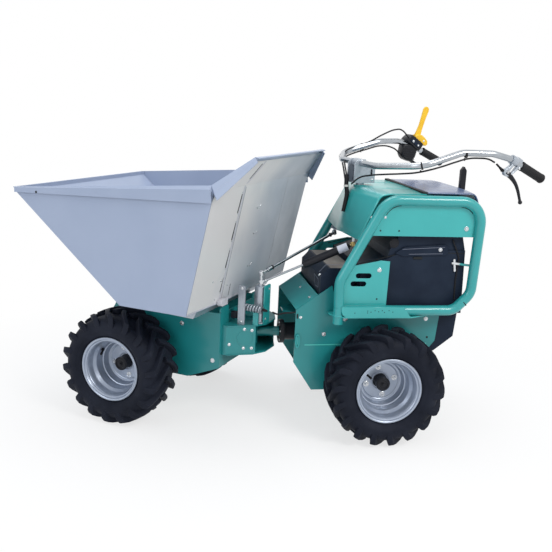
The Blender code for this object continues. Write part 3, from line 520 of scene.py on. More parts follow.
# ---------------------------------------------------------------- wheels
TYRE_LO, TYRE_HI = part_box("tyre_rear_left")
TYRE_R = (TYRE_HI.z - TYRE_LO.z) / 2
TYRE_W = TYRE_HI.y - TYRE_LO.y
LUGS = 18
LUG_SWEEP = radians(-20)
LUG_FIRST = {"front": radians(-4.5), "rear": radians(4.5)}
RIM_R, RIM_W = 0.115, 0.137
DISH = 0.112


def wheel_place(tag):
    """Wheel's centre, turned with its half."""
    half = REAR if tag.startswith("rear") else FRONT
    spot = Vector(JOINT[f"wheel_{tag}_spin"]["pos_m"])
    return Matrix.Translation(spot) @ half.to_3x3().to_4x4()


def tyre(tag):
    """Carcass with its crown, bulged sidewall and bead, and staggered lugs swept to the middle."""
    r, w = TYRE_R, TYRE_W / 2
    bm = bmesh.new()
    half = [(0.0, r - 0.0175), (0.03, r - 0.018), (0.055, r - 0.0205), (0.068, r - 0.026),
            (0.0755, r - 0.034), (0.08, r - 0.045), (w - 0.0006, r - 0.056), (0.0795, r - 0.067),
            (0.0775, r - 0.069), (0.0765, r - 0.0705), (0.0725, r - 0.078), (0.069, r - 0.0815),
            (0.0655, r - 0.084), (0.0632, r - 0.0862), (0.063, r - 0.089)]
    profile = [(-s, q) for s, q in reversed(half[1:])] + half
    lathe(bm, profile, AXIS_TURN["y"], 108)
    # each section: where its foot and its crown lie (from the middle, radius), foot and crown widths
    sections = [((-0.006, r - 0.022), (-0.006, r - 0.0012), 0.024, 0.017, -0.02),
                ((0.018, r - 0.021), (0.018, r - 0.0004), 0.025, 0.018, 0.16),
                ((0.04, r - 0.022), (0.04, r - 0.0012), 0.026, 0.018, 0.42),
                ((0.058, r - 0.025), (0.06, r - 0.0026), 0.027, 0.019, 0.72),
                ((0.067, r - 0.03), (0.0735, r - 0.0065), 0.028, 0.02, 0.92),
                ((0.071, r - 0.036), (0.08, r - 0.018), 0.028, 0.02, 1.0),
                ((0.0745, r - 0.045), (0.0822, r - 0.032), 0.027, 0.019, 1.03),
                ((0.077, r - 0.054), (0.0819, r - 0.046), 0.024, 0.016, 1.05)]
    for side in (1, -1):
        for k in range(LUGS):
            start = LUG_FIRST[tag.split("_")[0]] + 2 * pi * (k + (0.5 if side < 0 else 0.0)) / LUGS
            rows = []
            for (yf, rf), (yc, rc), wf, wc, t in sections:
                a = start + LUG_SWEEP * t
                row = []
                for y, q, wide in ((yf, rf, -wf), (yc, rc, -wc), (yc, rc, wc), (yf, rf, wf)):
                    b = a + wide / 2 / q
                    row.append(bm.verts.new((q * sin(b), side * y, q * cos(b))))
                rows.append(row)
            net(bm, rows)
            bm.faces.new(rows[0])
            bm.faces.new(rows[-1])
    ob = from_bm("tyre_moulded_" + tag, bm, "rubber", "wheel_" + tag, wheel_place(tag), ("tyre_" + tag,),
                 angle=42)
    bevel(ob, 0.0018, DETAIL, 42)


def rim(tag, side):
    """Pressed rim: rolled lip, deep barrel, stepped well and disc, with nuts and a valve."""
    o = RIM_W / 2
    d = o - DISH
    at = wheel_place(tag)
    section = [(o - 0.006, RIM_R), (o - 0.001, RIM_R + 0.0008), (o + 0.0006, RIM_R - 0.001),
               (o + 0.0008, RIM_R - 0.004), (o - 0.001, RIM_R - 0.0068), (o - 0.006, RIM_R - 0.0085),
               (o - 0.009, RIM_R - 0.0125), (o - 0.014, RIM_R - 0.016), (o - 0.024, RIM_R - 0.0172),
               (0.034, RIM_R - 0.0182), (0.03, RIM_R - 0.02), (0.0235, RIM_R - 0.0275),
               (0.0205, RIM_R - 0.029), (0.002, RIM_R - 0.0295), (-0.006, RIM_R - 0.03),
               (-0.01, RIM_R - 0.0315), (-0.0115, RIM_R - 0.035), (d + 0.024, RIM_R - 0.0375),
               (d + 0.012, RIM_R - 0.0385), (d + 0.0085, RIM_R - 0.0405), (d + 0.007, RIM_R - 0.044),
               (d + 0.0075, RIM_R - 0.047), (d + 0.006, RIM_R - 0.05), (d + 0.0042, RIM_R - 0.0515),
               (d + 0.0038, 0.06), (d + 0.0036, 0.0335), (d + 0.0052, 0.0325), (d + 0.0056, 0.03),
               (d + 0.004, 0.0285), (d + 0.0036, 0.0256), (d, 0.0256), (d, 0.064), (d + 0.002, 0.088),
               (-0.0315, 0.0885), (-0.042, RIM_R - 0.017), (-(o - 0.01), RIM_R - 0.0165),
               (-(o - 0.003), RIM_R - 0.0085), (-(o + 0.0006), RIM_R - 0.004), (-(o - 0.001), RIM_R + 0.0008),
               (-(o - 0.006), RIM_R), (-(o - 0.008), RIM_R - 0.0135), (-0.042, RIM_R - 0.014),
               (-0.03, 0.0905), (0.018, 0.0905), (0.03, RIM_R - 0.014), (o - 0.008, RIM_R - 0.0135)]
    turned("rim_pressed_" + tag, [(side * u, r) for u, r in section], "y", (0, 0, 0), "rim", "wheel_" + tag,
           120, ("rim_" + tag,), at, closed=True)
    face = side * (d + 0.0037)
    nuts = [((0.052 * sin(a), face, 0.052 * cos(a)), (0, side, 0), 0.0078, "nut")
            for a in [radians(12) + pi / 2 * k for k in range(4)]]
    screws("wheel_nuts_" + tag, nuts, "bolt", "wheel_" + tag, at)
    bm = bmesh.new()
    foot, tip = Vector((0.07, side * 0.006, 0.045)), Vector((0.058, side * 0.034, 0.037))
    lathe(bm, [(0, 0.0065), (0.004, 0.0062), (0.008, 0.0042), (0.026, 0.0036), (0.026, 0.0044),
               (0.033, 0.0044), (0.034, 0.0036), (0.034, 0)], along(foot, tip), 16)
    from_bm("valve_" + tag, bm, "cable", "wheel_" + tag, at)


def hub(tag, side):
    """Hub boss through the disc with its flange behind, end cap, circlip and centre screw."""
    d = RIM_W / 2 - DISH
    at = wheel_place(tag)
    a, b = d - 0.03, d + 0.045
    section = [(a, 0), (a, 0.046), (a + 0.002, 0.048), (d - 0.0024, 0.048), (d - 0.0004, 0.0465),
               (d - 0.0004, 0.0252), (d + 0.004, 0.0245), (d + 0.01, 0.0245), (d + 0.011, 0.0235),
               (b - 0.009, 0.0235), (b - 0.008, 0.0248), (b - 0.004, 0.0248), (b - 0.003, 0.0225),
               (b - 0.001, 0.0222), (b, 0.0208), (b, 0.0165), (b - 0.0025, 0.0155), (b - 0.0025, 0)]
    turned("hub_boss_" + tag, [(side * u, r) for u, r in section], "y", (0, 0, 0), "black", "wheel_" + tag,
           64, ("hub_" + tag,), at)
    screws("hub_screw_" + tag, [((0, side * (b - 0.0025), 0), (0, side, 0), 0.007, "hex")], "black",
           "wheel_" + tag, at)


for tag, side in (("front_left", 1), ("front_right", -1), ("rear_left", 1), ("rear_right", -1)):
    tyre(tag)
    rim(tag, side)
    hub(tag, side)


# ---------------------------------------------------------------- skip
RIM_Z, GUARD_Z = 0.877, 0.976              # tops of the skip's rim and of the guard above it
WALL_FOOT, WALL_HALF = 0.464, 0.3965


def wall(y, z):
    """Point of the skip's rear wall, seen from behind."""
    return skin("skip_tub", "skip", (-0.5, y, z), (1, 0, 0))


def rear_wall_skin():
    """Outside of the rear wall and its guard, with the mottled sheen of the bare sheet painted into its
    colour as painted reflection.
    """
    heights = [WALL_FOOT + (RIM_Z - 0.003 - WALL_FOOT) * k / 12 for k in range(13)]
    heights += [RIM_Z + 0.003 + (GUARD_Z - 0.016 - RIM_Z) * k / 4 for k in range(5)]
    bm = bmesh.new()
    rows = []
    for z in heights:
        reach = WALL_HALF - max(0.0, (z - RIM_Z) * 1.03)
        row = []
        for k in range(33):
            at, normal = wall(-reach + 2 * reach * k / 32, z)
            row.append(bm.verts.new(at + normal * 0.0005))
        rows.append(row)
    net(bm, rows)
    from_bm("rear_wall_skin", bm, "wall", "skip", angle=12)


def skip_details():
    """Seams, hems and weld spots of the rear wall, press marks, stop lug and drain holes; pale strips on the
    seam, the right fold and the floor hem and bright arcs on the press marks are painted highlights, the dark
    left fold line painted shade.
    """
    seam = [(0.844, 0.785), (0.747, 0.691), (0.651, 0.594), (0.555, 0.507)]
    dark, pale, spots_at = [], [], []
    for hi, lo in seam:
        dark.append(strip(wall, (0.199, hi), (0.203, lo), 0.0058, 0.0009))
        for z in (hi + 0.006, lo - 0.006):
            spots_at.append((wall(0.2005, z), 0.003))
    dark.append(strip(wall, (0.208, 0.95), (0.203, 0.9), 0.0045, 0.0009))
    dark.append(strip(wall, (0.133, 0.519), (0.132, 0.478), 0.003, 0.0009))
    # painted highlight: pale strips down the seam, below and above the rim
    pale.append(strip(wall, (0.19, 0.868), (0.194, 0.474), 0.014, 0.0008))
    pale.append(strip(wall, (0.195, 0.955), (0.191, 0.886), 0.014, 0.0008))
    # fold lines: painted shade on the left, painted highlight on the right
    for side, look, y0, y1 in (("left", "shade", 0.1815, 0.1845), ("right", "hem", -0.18, -0.18)):
        inlays("wall_fold_line_" + side, [strip(wall, (y0, 0.868), (y1, 0.472), 0.0016, 0.001)], look, "skip")
    inlays("wall_seam_slots", dark, "dark", "skip")
    inlays("wall_seam_painted_highlight", pale, "hem", "skip")
    bm = bmesh.new()
    spots_at += [(wall(y, z), r) for y, z, r in ((0.268, 0.553, 0.004), (0.212, 0.546, 0.005),
                                                 (0.158, 0.52, 0.003), (0.231, 0.482, 0.003))]
    for (at, n), r in spots_at:
        lathe(bm, [(-0.0006, r), (0.0007, r * 0.8), (0.0012, r * 0.4), (0.0013, 0)], facing(at, n), 12)
    from_bm("wall_weld_spots", bm, "bolt", "skip")
    # painted highlights on the shallow press marks, drawn as bright zinc arcs
    for i, (y, z, r) in enumerate(((0.043, 0.802, 0.02), (0.026, 0.703, 0.016), (0.008, 0.583, 0.021))):
        points = []
        for k in range(9):
            t = radians(-135 + 112 * k / 8)
            at, n = wall(y - r * cos(t), z + r * sin(t))
            points.append(at + n * 0.0004)
        curve_piece(f"wall_press_mark_painted_highlight_{i}", points, 0.0021, "bolt", "skip", bez=False,
                    taper=(0.3, 0.8, 1, 1, 1, 1, 1, 0.8, 0.3))
    lug = [(0.166, 0.4555), (0.205, 0.4555), (0.2115, 0.461), (0.2115, 0.476), (0.206, 0.48), (0.166, 0.48)]
    plate("skip_stop_lug", lug, "x", 0.006, 0.0262, "hem", "skip", 0.0015)
    # painted highlight along the floor hem
    hem = [strip(wall, (y0, 0.4655), (y1, 0.4655), 0.006, 0.0011)
           for y0, y1 in ((0.392, 0.184), (0.178, -0.178), (-0.184, -0.392))]
    inlays("skip_floor_hem_painted_highlight", hem, "hem", "skip")
    for side in (1, -1):
        bm = bmesh.new()
        at, _ = skin("skip_tub", "skip", (0.622, side * 0.7, 0.812), (0, -side, 0))
        lathe(bm, [(-0.001, 0.0042), (0.0005, 0.0042), (0.0005, 0)], facing(at, (0, side, 0)), 14)
        from_bm(f"rim_drain_holes_{side}", bm, "dark", "skip")


# ---------------------------------------------------------------- front half
SLANT_N = Vector((-0.612, 0.791, 0))


def housing_details():
    """Pressed circle, bolts and hems on the slanted cheeks of the pivot housing."""
    for side in (1, -1):
        n = Vector((SLANT_N.x, side * SLANT_N.y, 0))
        centre = Vector((-0.036, side * 0.1072, 0.323))
        at, normal = skin("pivot_housing", "front_half", centre + n * 0.05, -n)
        m = facing(at, normal)
        bm = bmesh.new()
        lathe(bm, [(-0.001, 0.03), (0.0007, 0.0296), (0.0011, 0.0287), (0.0007, 0.0279), (-0.001, 0.0276)], m,
              56)
        from_bm(f"housing_pressed_ring_{side}", bm, "frame", "front_half")
        items = [(Vector((x, side * y, z)) + n * 0.05, -n, 0.0048, "dome")
                 for x, y, z in ((-0.034, 0.1088, 0.3555), (-0.056, 0.0918, 0.351), (0.0081, 0.1414, 0.3016),
                                 (-0.0329, 0.1096, 0.2863), (-0.056, 0.0918, 0.2852))]
        fasten(f"housing_screws_{side}", "pivot_housing", "front_half", items)
        hems = [((0.014, side * 0.1468, z), (-0.062, side * 0.088, z), 0.0032, n, 0.0024)
                for z in (0.3688, 0.2632)]
        inlays(f"housing_hem_{side}", hems, "frame", "front_half")


def post_details():
    """Zinc post with its cap, the eyes' bolts, and the web's bolts."""
    x, y = -0.06, 0.04
    profile = [(0.3703, 0.021), (0.3703, 0.0262), (0.3745, 0.0262), (0.376, 0.0212), (0.5, 0.021),
               (0.503, 0.0202), (0.5046, 0.0182), (0.5046, 0.0105), (0.509, 0.0098), (0.509, 0)]
    turned("post_tube", profile, "z", (x, y, 0), "zinc", "front_half", 48, ("steering_post",))
    pin = [(0.5085, 0.005), (0.548, 0.005), (0.548, 0.004), (0.556, 0.004), (0.5565, 0)]
    turned("post_eye_pin", [(0.5085, 0)] + pin, "z", (x, y, 0), "bolt", "front_half", 20)
    items = [((x, y, 0.509), (0, 0, 1), 0.0068, "hex"), ((x, y, 0.556), (0, 0, 1), 0.0052, "hex")]
    items += [((-0.0863, py, pz), (-1, 0, 0), 0.0042, "dome") for py, pz in ((0.024, 0.494), (0.048, 0.388))]
    screws("post_bolts", items, "bolt", "front_half")


def spring():
    """Wound latch spring between two washers on its rod, with the rubber boot of its cable."""
    y, z, r = 0.085, 0.43, 0.0111
    x0, x1 = -0.004, -0.086
    turns, steps = 7.5, 24
    points = []
    for k in range(int(turns * steps) + 1):
        t = k / (turns * steps)
        a = 2 * pi * turns * t
        points.append((x0 + (x1 - x0) * t, y + r * cos(a), z + r * sin(a)))
    curve_piece("spring_coil", points, 0.0028, "zinc", "front_half", bez=False, res=3,
                replaces=("latch_spring",))
    bm = bmesh.new()
    for x in (x0 + 0.0012, x1 - 0.0012):
        lathe(bm, ends(-0.0012, 0.0012, 0.0045, 0.014), Matrix.Translation((x, y, z)) @ AXIS_TURN["x"], 32)
    lathe(bm, ends(-0.083, -0.002, 0, 0.0045), Matrix.Translation((0, y, z)) @ AXIS_TURN["x"], 20)
    from_bm("spring_washers", bm, "zinc", "front_half")
    turned("spring_boot", [(0, 0), (0, 0.0052), (0.003, 0.0066), (0.006, 0.0052), (0.009, 0.0062),
                           (0.012, 0.0046), (0.016, 0.0042), (0.02, 0.003), (0.02, 0)], "z", (0, 0, 0),
           "cable", "front_half", 24, at=FRONT @ along((-0.089, y, z), (-0.13, y + 0.001, z - 0.002)))


def latch():
    """Bolts of the latch bar, its stop block, and the bolts of the front chassis."""
    items = [((-0.0175, 0.1063, z), (0, 1, 0), r, "dome") for z, r in ((0.503, 0.005), (0.382, 0.004))]
    screws("latch_bolts", items, "bolt", "front_half")
    plate("latch_stop_block", [(0.0015, 0.3885), (0.022, 0.3885), (0.0235, 0.39), (0.0235, 0.411),
                               (0.022, 0.4125), (0.0015, 0.4125)], "y", 0.087, 0.105, "black", "front_half",
          0.0015)
    fasten("front_chassis_bolts", "front_chassis", "front_half",
           [((x, side * 0.3, z), (0, -side, 0), 0.006, "hex") for side in (1, -1)
            for x, z in ((0.187, 0.358), (0.435, 0.358), (0.06, 0.24))])


def knuckle():
    """Cap over the pivot pin, with its greaser."""
    profile = [(0.37, 0.03), (0.3712, 0.03), (0.3718, 0.027), (0.3718, 0.012), (0.3735, 0.0108),
               (0.376, 0.01), (0.3765, 0)]
    turned("pivot_cap", profile, "z", (0, 0, 0), "teal", "front_half", 36)


rear_wall_skin()
skip_details()
housing_details()
post_details()
spring()
latch()
knuckle()


# ---------------------------------------------------------------- latch cable across the articulation
CHASSIS_SIDE, BOX_SIDE = 0.175, 0.2      # half widths of the rear chassis and of the battery box


def latch_cable():
    """Black cable from the spring's boot to its slot in the rear chassis, drawn in place across the pivot
    with a slight sag.
    """
    start = FRONT @ Vector((-0.129, 0.086, 0.428))
    end = REAR @ Vector((-0.1405, 0.169, 0.435))
    lead = FRONT.to_3x3() @ Vector((-0.02, 0.0, -0.004))
    path = [start, start + lead, start.lerp(end, 0.5) + Vector((0, 0, -0.003)), end]
    bending_cable("latch_cable", path, 0.003, "cable")
    face, n = CHASSIS_SIDE, (0, 1, 0)
    inlays("cable_slot_left", [((-0.144, face, 0.4285), (-0.144, face, 0.416), 0.006, n)], "dark",
           "rear_half")
    screws("cable_slot_bolt_left", [((-0.156, face, 0.418), n, 0.0044, "dome")], "bolt", "rear_half")


latch_cable()


# ---------------------------------------------------------------- rear half: tube loops and side sheets
LOOP_Y, LOOP_R = 0.232, 0.018
LOOP = [(-0.2745, 0.459), (-0.2715, 0.56), (-0.419, 0.8435), (-0.762, 0.8435), (-0.748, 0.52), (-0.69, 0.459)]
LOOP_BEND = (0.022, 0.075, 0.075, 0.075, 0.06, 0.06)
DECK_FACE = 0.2532                         # from the middle to the outside of the edge plate
PANEL_Y = (0.2225, 0.2265)                 # inner and outer face of the side sheets


def loops():
    """Closed tube loops, each with its straight foot, weld collar and joint."""
    for side, tag in SIDES:
        path = arc_path([(x, side * LOOP_Y, z) for x, z in LOOP], LOOP_BEND, closed=True, steps=12)
        curve_piece("loop_tube_" + tag, path, LOOP_R, "teal", "rear_half", closed=True,
                    replaces=("loop_" + tag,), bez=False, res=10)
        foot = [(0.411, 0), (0.411, 0.014), (0.412, 0.0172), (0.414, 0.018), (0.47, 0.018), (0.47, 0)]
        turned("loop_foot_" + tag, foot, "z", (-0.2745, side * LOOP_Y, 0), "teal", "rear_half", 48)
        collar = [(0.439, 0.0178), (0.439, 0.0204), (0.442, 0.0204), (0.445, 0.0178)]
        turned("loop_foot_weld_" + tag, collar, "z", (-0.2745, side * LOOP_Y, 0), "teal", "rear_half", 40,
               closed=True)
        bm = bmesh.new()
        lathe(bm, ends(-0.0014, 0.0014, 0.017, 0.0184), facing((-0.7216, side * LOOP_Y, 0.4897),
                                                               (-0.69, 0, 0.72)), 40)
        from_bm("loop_joint_" + tag, bm, "dark", "rear_half")


def side_sheets():
    """Upper panel and lower gusset, each running into the tube loop, with slots, holes and bolts."""
    panel = [(-0.357, 0.7195), (-0.756, 0.7195), (-0.759, 0.79), (-0.756, 0.815), (-0.743, 0.832),
             (-0.72, 0.8415), (-0.69, 0.8435), (-0.465, 0.8435), (-0.44, 0.84), (-0.42, 0.829)]
    gusset = [(-0.274, 0.459), (-0.444, 0.459), (-0.447, 0.6315), (-0.415, 0.634), (-0.312, 0.613),
              (-0.28, 0.578), (-0.272, 0.56)]
    for side, tag in SIDES:
        lo, hi = sorted((side * PANEL_Y[0], side * PANEL_Y[1]))
        face, n = side * PANEL_Y[1], (0, side, 0)
        # side sheets in the lighter teal of painted light
        plate("upper_panel_" + tag, panel, "y", lo, hi, "sheet", "rear_half", 0.0007,
              replaces=("side_panel_" + tag,))
        plate("gusset_sheet_" + tag, gusset, "y", lo, hi, "sheet", "rear_half", 0.0007,
              replaces=("gusset_" + tag,), holes=(slot_outline(-0.357, 0.58, 0.056, 0.018),
                                                  slot_outline(-0.34, 0.5515, 0.056, 0.018)))
        gaps = []
        for cx, cz, r, a0, a1 in ((-0.474, 0.764, 0.06, 93, 152), (-0.687, 0.7685, 0.054, 38, 90)):
            turns = [radians(a0 + (a1 - a0) * k / 7) for k in range(8)]
            arc = [Vector((cx - r * cos(a), face, cz + r * sin(a))) for a in turns]
            gaps += [(a, b, 0.0022, n) for a, b in zip(arc, arc[1:])]
        holes = [dot(x, face, z, w, n) for x, z, w in ((-0.404, 0.7377, 0.006), (-0.4698, 0.7378, 0.006),
                                                       (-0.409, 0.4986, 0.0062))]
        inlays("panel_gaps_" + tag, gaps + holes, "dark", "rear_half")
        screws("panel_bolts_" + tag, [((-0.7118, face, 0.7488), n, 0.0062, "hex"),
                                      ((-0.411, face, 0.6006), n, 0.0056, "hex"),
                                      ((-0.4177, face, 0.783), n, 0.0036, "dome")], "bolt", "rear_half")


def decks():
    """Foot deck: sheet cut back toward the rear, with the perforated edge plate below the loop."""
    for side, tag in SIDES:
        sheet = [(-0.25, 0.1753), (-0.25, 0.206), (-0.29, 0.2528), (-0.53, 0.2528), (-0.65, 0.199),
                 (-0.656, 0.1753)]
        # deck in the lighter teal of painted light
        plate("deck_sheet_" + tag, [(x, side * y) for x, y in sheet], "z", 0.4362, 0.4402, "sheet",
              "rear_half", 0.0006, replaces=("deck_" + tag,))
        edge = [(-0.279, 0.476), (-0.2805, 0.46), (-0.285, 0.448), (-0.295, 0.44), (-0.31, 0.4382),
                (-0.53, 0.4382), (-0.5, 0.476)]
        plate("deck_edge_" + tag, edge, "y", *sorted((side * 0.2503, side * DECK_FACE)), "sheet", "rear_half",
              0.0005)
        dots = [dot(x, side * DECK_FACE, z, 0.0034, (0, side, 0))
                for x, z in ((-0.327, 0.4555), (-0.372, 0.456), (-0.372, 0.463), (-0.384, 0.459),
                             (-0.398, 0.464), (-0.411, 0.46), (-0.424, 0.464), (-0.432, 0.458),
                             (-0.448, 0.464), (-0.462, 0.459))]
        inlays("deck_perforations_" + tag, dots, "dark", "rear_half")


# ---------------------------------------------------------------- hood and cowl
COWL_FOOT, HOOD_END = 0.7046, -0.5585
HOOD_HALF, HOOD_SOFT = 0.2222, 0.035
LID_FRONT, LID_BACK, LID_HALF, LID_Z = -0.564, -0.728, 0.219, 0.869
SHEET = 0.0035                             # thickness of cowl, hood and lid


def soft_abs(y):
    """Absolute value with its corner rounded."""
    return hypot(y, HOOD_SOFT) - HOOD_SOFT


def hood_row(y):
    """Section of cowl and hood at width y: foot, shoulder arc, then back to the lid's seam."""
    share = min(1.0, soft_abs(y) / (HOOD_HALF - 0.03))
    foot = (-0.3095 - 0.0195 * share, COWL_FOOT)
    shoulder = (-0.354 - 0.044 * share, 0.866 - 0.0105 * share)
    crest = (-0.43, 0.868 - 0.006 * share)
    end = (HOOD_END, 0.868 - 0.003 * share)
    path = arc_path([(*foot, 0), (*shoulder, 0), (*crest, 0), (*end, 0)], 0.04, steps=10)
    return [(p[0], y, p[1]) for p in path]


def bodywork():
    """Cowl folding over into the hood in one sheet, its flange, the damper's stud and the seam strip."""
    bm = bmesh.new()
    count = 40 * DETAIL // 2
    columns = []
    for k in range(count + 1):
        y = -HOOD_HALF + 2 * HOOD_HALF * k / count
        columns.append([bm.verts.new(p) for p in hood_row(y)])
    for a, b in zip(columns, columns[1:]):
        for i in range(min(len(a), len(b)) - 1):
            bm.faces.new((a[i], b[i], b[i + 1], a[i + 1]))
    # cowl and hood in the lighter teal of painted light
    ob = from_bm("cowl_and_hood", bm, "sheet", "rear_half", replaces=("cowl", "hood"), angle=60)
    solid(ob, SHEET)
    plate("cowl_flange", [(-0.35, -0.205), (-0.3305, -0.205), (-0.312, 0), (-0.3305, 0.205), (-0.35, 0.205)],
          "z", 0.7012, 0.7046, "teal", "rear_half", 0.0006)
    turned("damper_stud", ends(0.6856, 0.702, 0, 0.005), "z", (-0.333, 0.15, 0), "bolt", "rear_half", 20)
    seam = ends(-0.5485, -0.564, -0.218, 0.218)
    plate("hood_seam_strip", seam, "z", 0.864, 0.8712, "dark", "rear_half", 0.0015)


def rear_lid():
    """Navy lid, lightly domed and rolled down at the back, with its post."""
    bm = bmesh.new()
    rows, cols = 22, 32
    grid = []
    for i in range(rows + 1):
        t = i / rows
        row = []
        for k in range(cols + 1):
            y = -LID_HALF + 2 * LID_HALF * k / cols
            dome = 0.006 * (1 - (abs(y) / LID_HALF) ** 4) * min(1.0, t * 3.0)
            if t <= 0.75:
                x, z = LID_FRONT + (LID_BACK - LID_FRONT) * t / 0.75, LID_Z + dome
            else:
                a = (t - 0.75) / 0.25 * radians(84)
                x, z = LID_BACK - 0.03 * sin(a), LID_Z + dome - 0.095 * (1 - cos(a))
            row.append(bm.verts.new((x, y, z)))
        grid.append(row)
    net(bm, grid)
    ob = from_bm("rear_lid_sheet", bm, "lid", "rear_half", replaces=("rear_lid",), angle=50)
    solid(ob, SHEET)
    outline = [(-0.787, 0.77), (-0.787, 0.93), (-0.778, 0.9438), (-0.776, 0.9438), (-0.7665, 0.93),
               (-0.7665, 0.77)]
    plate("lid_post_bar", outline, "y", -0.0105, 0.0105, "black", "rear_half", 0.0022, replaces=("lid_post",))
    plate("lid_post_foot", ends(-0.7895, -0.75, -0.0108, 0.0108), "z", 0.791, 0.795, "black", "rear_half",
          0.0008)


# ---------------------------------------------------------------- rear boxes
def box_details():
    """Battery box: seams, strap with its rims in painted highlight, clip, cap, toggle, wire; electronics box:
    emboss and strap in the same painted highlight, screw, and a pale top of dust and painted light.
    """
    for side, tag in SIDES:
        y, n = side * BOX_SIDE, (0, side, 0)
        face = y + side * 0.004
        seam = [((-0.3305, y, 0.613), (-0.47, y, 0.649), 0.0022, n, 0.001),
                ((-0.625, y, 0.66), (-0.724, y, 0.656), 0.0022, n, 0.001)]
        inlays("box_seams_" + tag, seam, "dark", "rear_half")
        strap = [(-0.47, 0.656), (-0.505, 0.6785), (-0.65, 0.687), (-0.662, 0.68), (-0.663, 0.656),
                 (-0.652, 0.649), (-0.5, 0.644)]
        plate("box_strap_" + tag, strap, "y", *sorted((y - side * 0.003, face)), "box", "rear_half", 0.0016)
        # painted highlight along the strap's rims
        inlays("box_strap_rim_" + tag, [((-0.496, face, 0.67), (-0.648, face, 0.679), 0.002, n, 0.001),
                                        ((-0.52, face, 0.653), (-0.642, face, 0.656), 0.002, n, 0.001)],
               "edge", "rear_half")
        screws("box_bolts_" + tag, [((-0.6335, face, 0.67), n, 0.0052, "hex")], "bolt", "rear_half")
        plate("box_clip_" + tag, [(-0.538, 0.635), (-0.57, 0.635), (-0.57, 0.643), (-0.538, 0.643)], "y",
              *sorted((y, face)), "dark", "rear_half", 0.001)
        turned("filler_cap_" + tag, [(-0.002, 0), (-0.002, 0.017), (0.0012, 0.017), (0.002, 0.016),
                                     (0.002, 0.012), (0.003, 0.0112), (0.003, 0)], "z", (0, 0, 0), "black",
               "rear_half", 40, at=REAR @ facing((-0.466, y - side * 0.003, 0.69), n))
        hook = bmesh.new()
        inlay(hook, (-0.683, face, 0.623), (-0.705, y + side * 0.01, 0.6215), 0.0075, n, 0.002, 0.002)
        inlay(hook, (-0.688, face, 0.634), (-0.693, face, 0.596), 0.007, n, 0.002, 0.002)
        from_bm("toggle_hook_" + tag, hook, "bolt", "rear_half")
        strap = [(-0.7, 0.006, 0.6215), (-0.725, 0.016, 0.6195), (-0.748, 0.026, 0.619)]
        curve_piece("toggle_strap_" + tag, [(x, y + side * out, z) for x, out, z in strap], 0.0042, "teal",
                    "rear_half")
        wire = [(-0.677, 0.001, 0.704), (-0.696, 0.002, 0.664), (-0.705, 0.002, 0.64), (-0.7, 0.002, 0.56),
                (-0.702, 0.001, 0.49)]
        curve_piece("box_corner_wire_" + tag, [(x, y + side * out, z) for x, out, z in wire], 0.0028, "cable",
                    "rear_half", bez=False)
    slope = (0.73, 0, 0.68)
    emboss = [(-0.2222, y, z) for y, z in ((0.06, 0.549), (0.132, 0.545), (0.13, 0.516), (0.083, 0.513))]
    # painted highlight on the emboss outline and on the strap
    inlays("electronics_emboss", [(a, b, 0.0026, (1, 0, 0), 0.001) for a, b in edges(emboss)], "edge",
           "rear_half")
    fasten("electronics_screws", "electronics_box", "rear_half",
           [((-0.1, 0.138, 0.64), (-0.85, 0, -0.53), 0.0055, "dome")])
    inlays("electronics_strap", [((-0.228, 0.112, 0.5668), (-0.248, 0.112, 0.59), 0.01, slope, 0.0012),
                                 ((-0.254, 0.112, 0.592), (-0.33, 0.112, 0.592), 0.01, (0, 0, 1), 0.0012)],
           "edge", "rear_half")
    # pale top: dust together with painted light on the lit face
    plate("electronics_lit_top", ends(-0.256, -0.336, -0.158, 0.158), "z", 0.5915, 0.5928, "dust_and_light",
          "rear_half", 0.0005)


# ---------------------------------------------------------------- rear chassis
SWIVEL_R, SWIVEL_Z = 0.0375, 0.316        # bolt circle and height of the swivel bearing


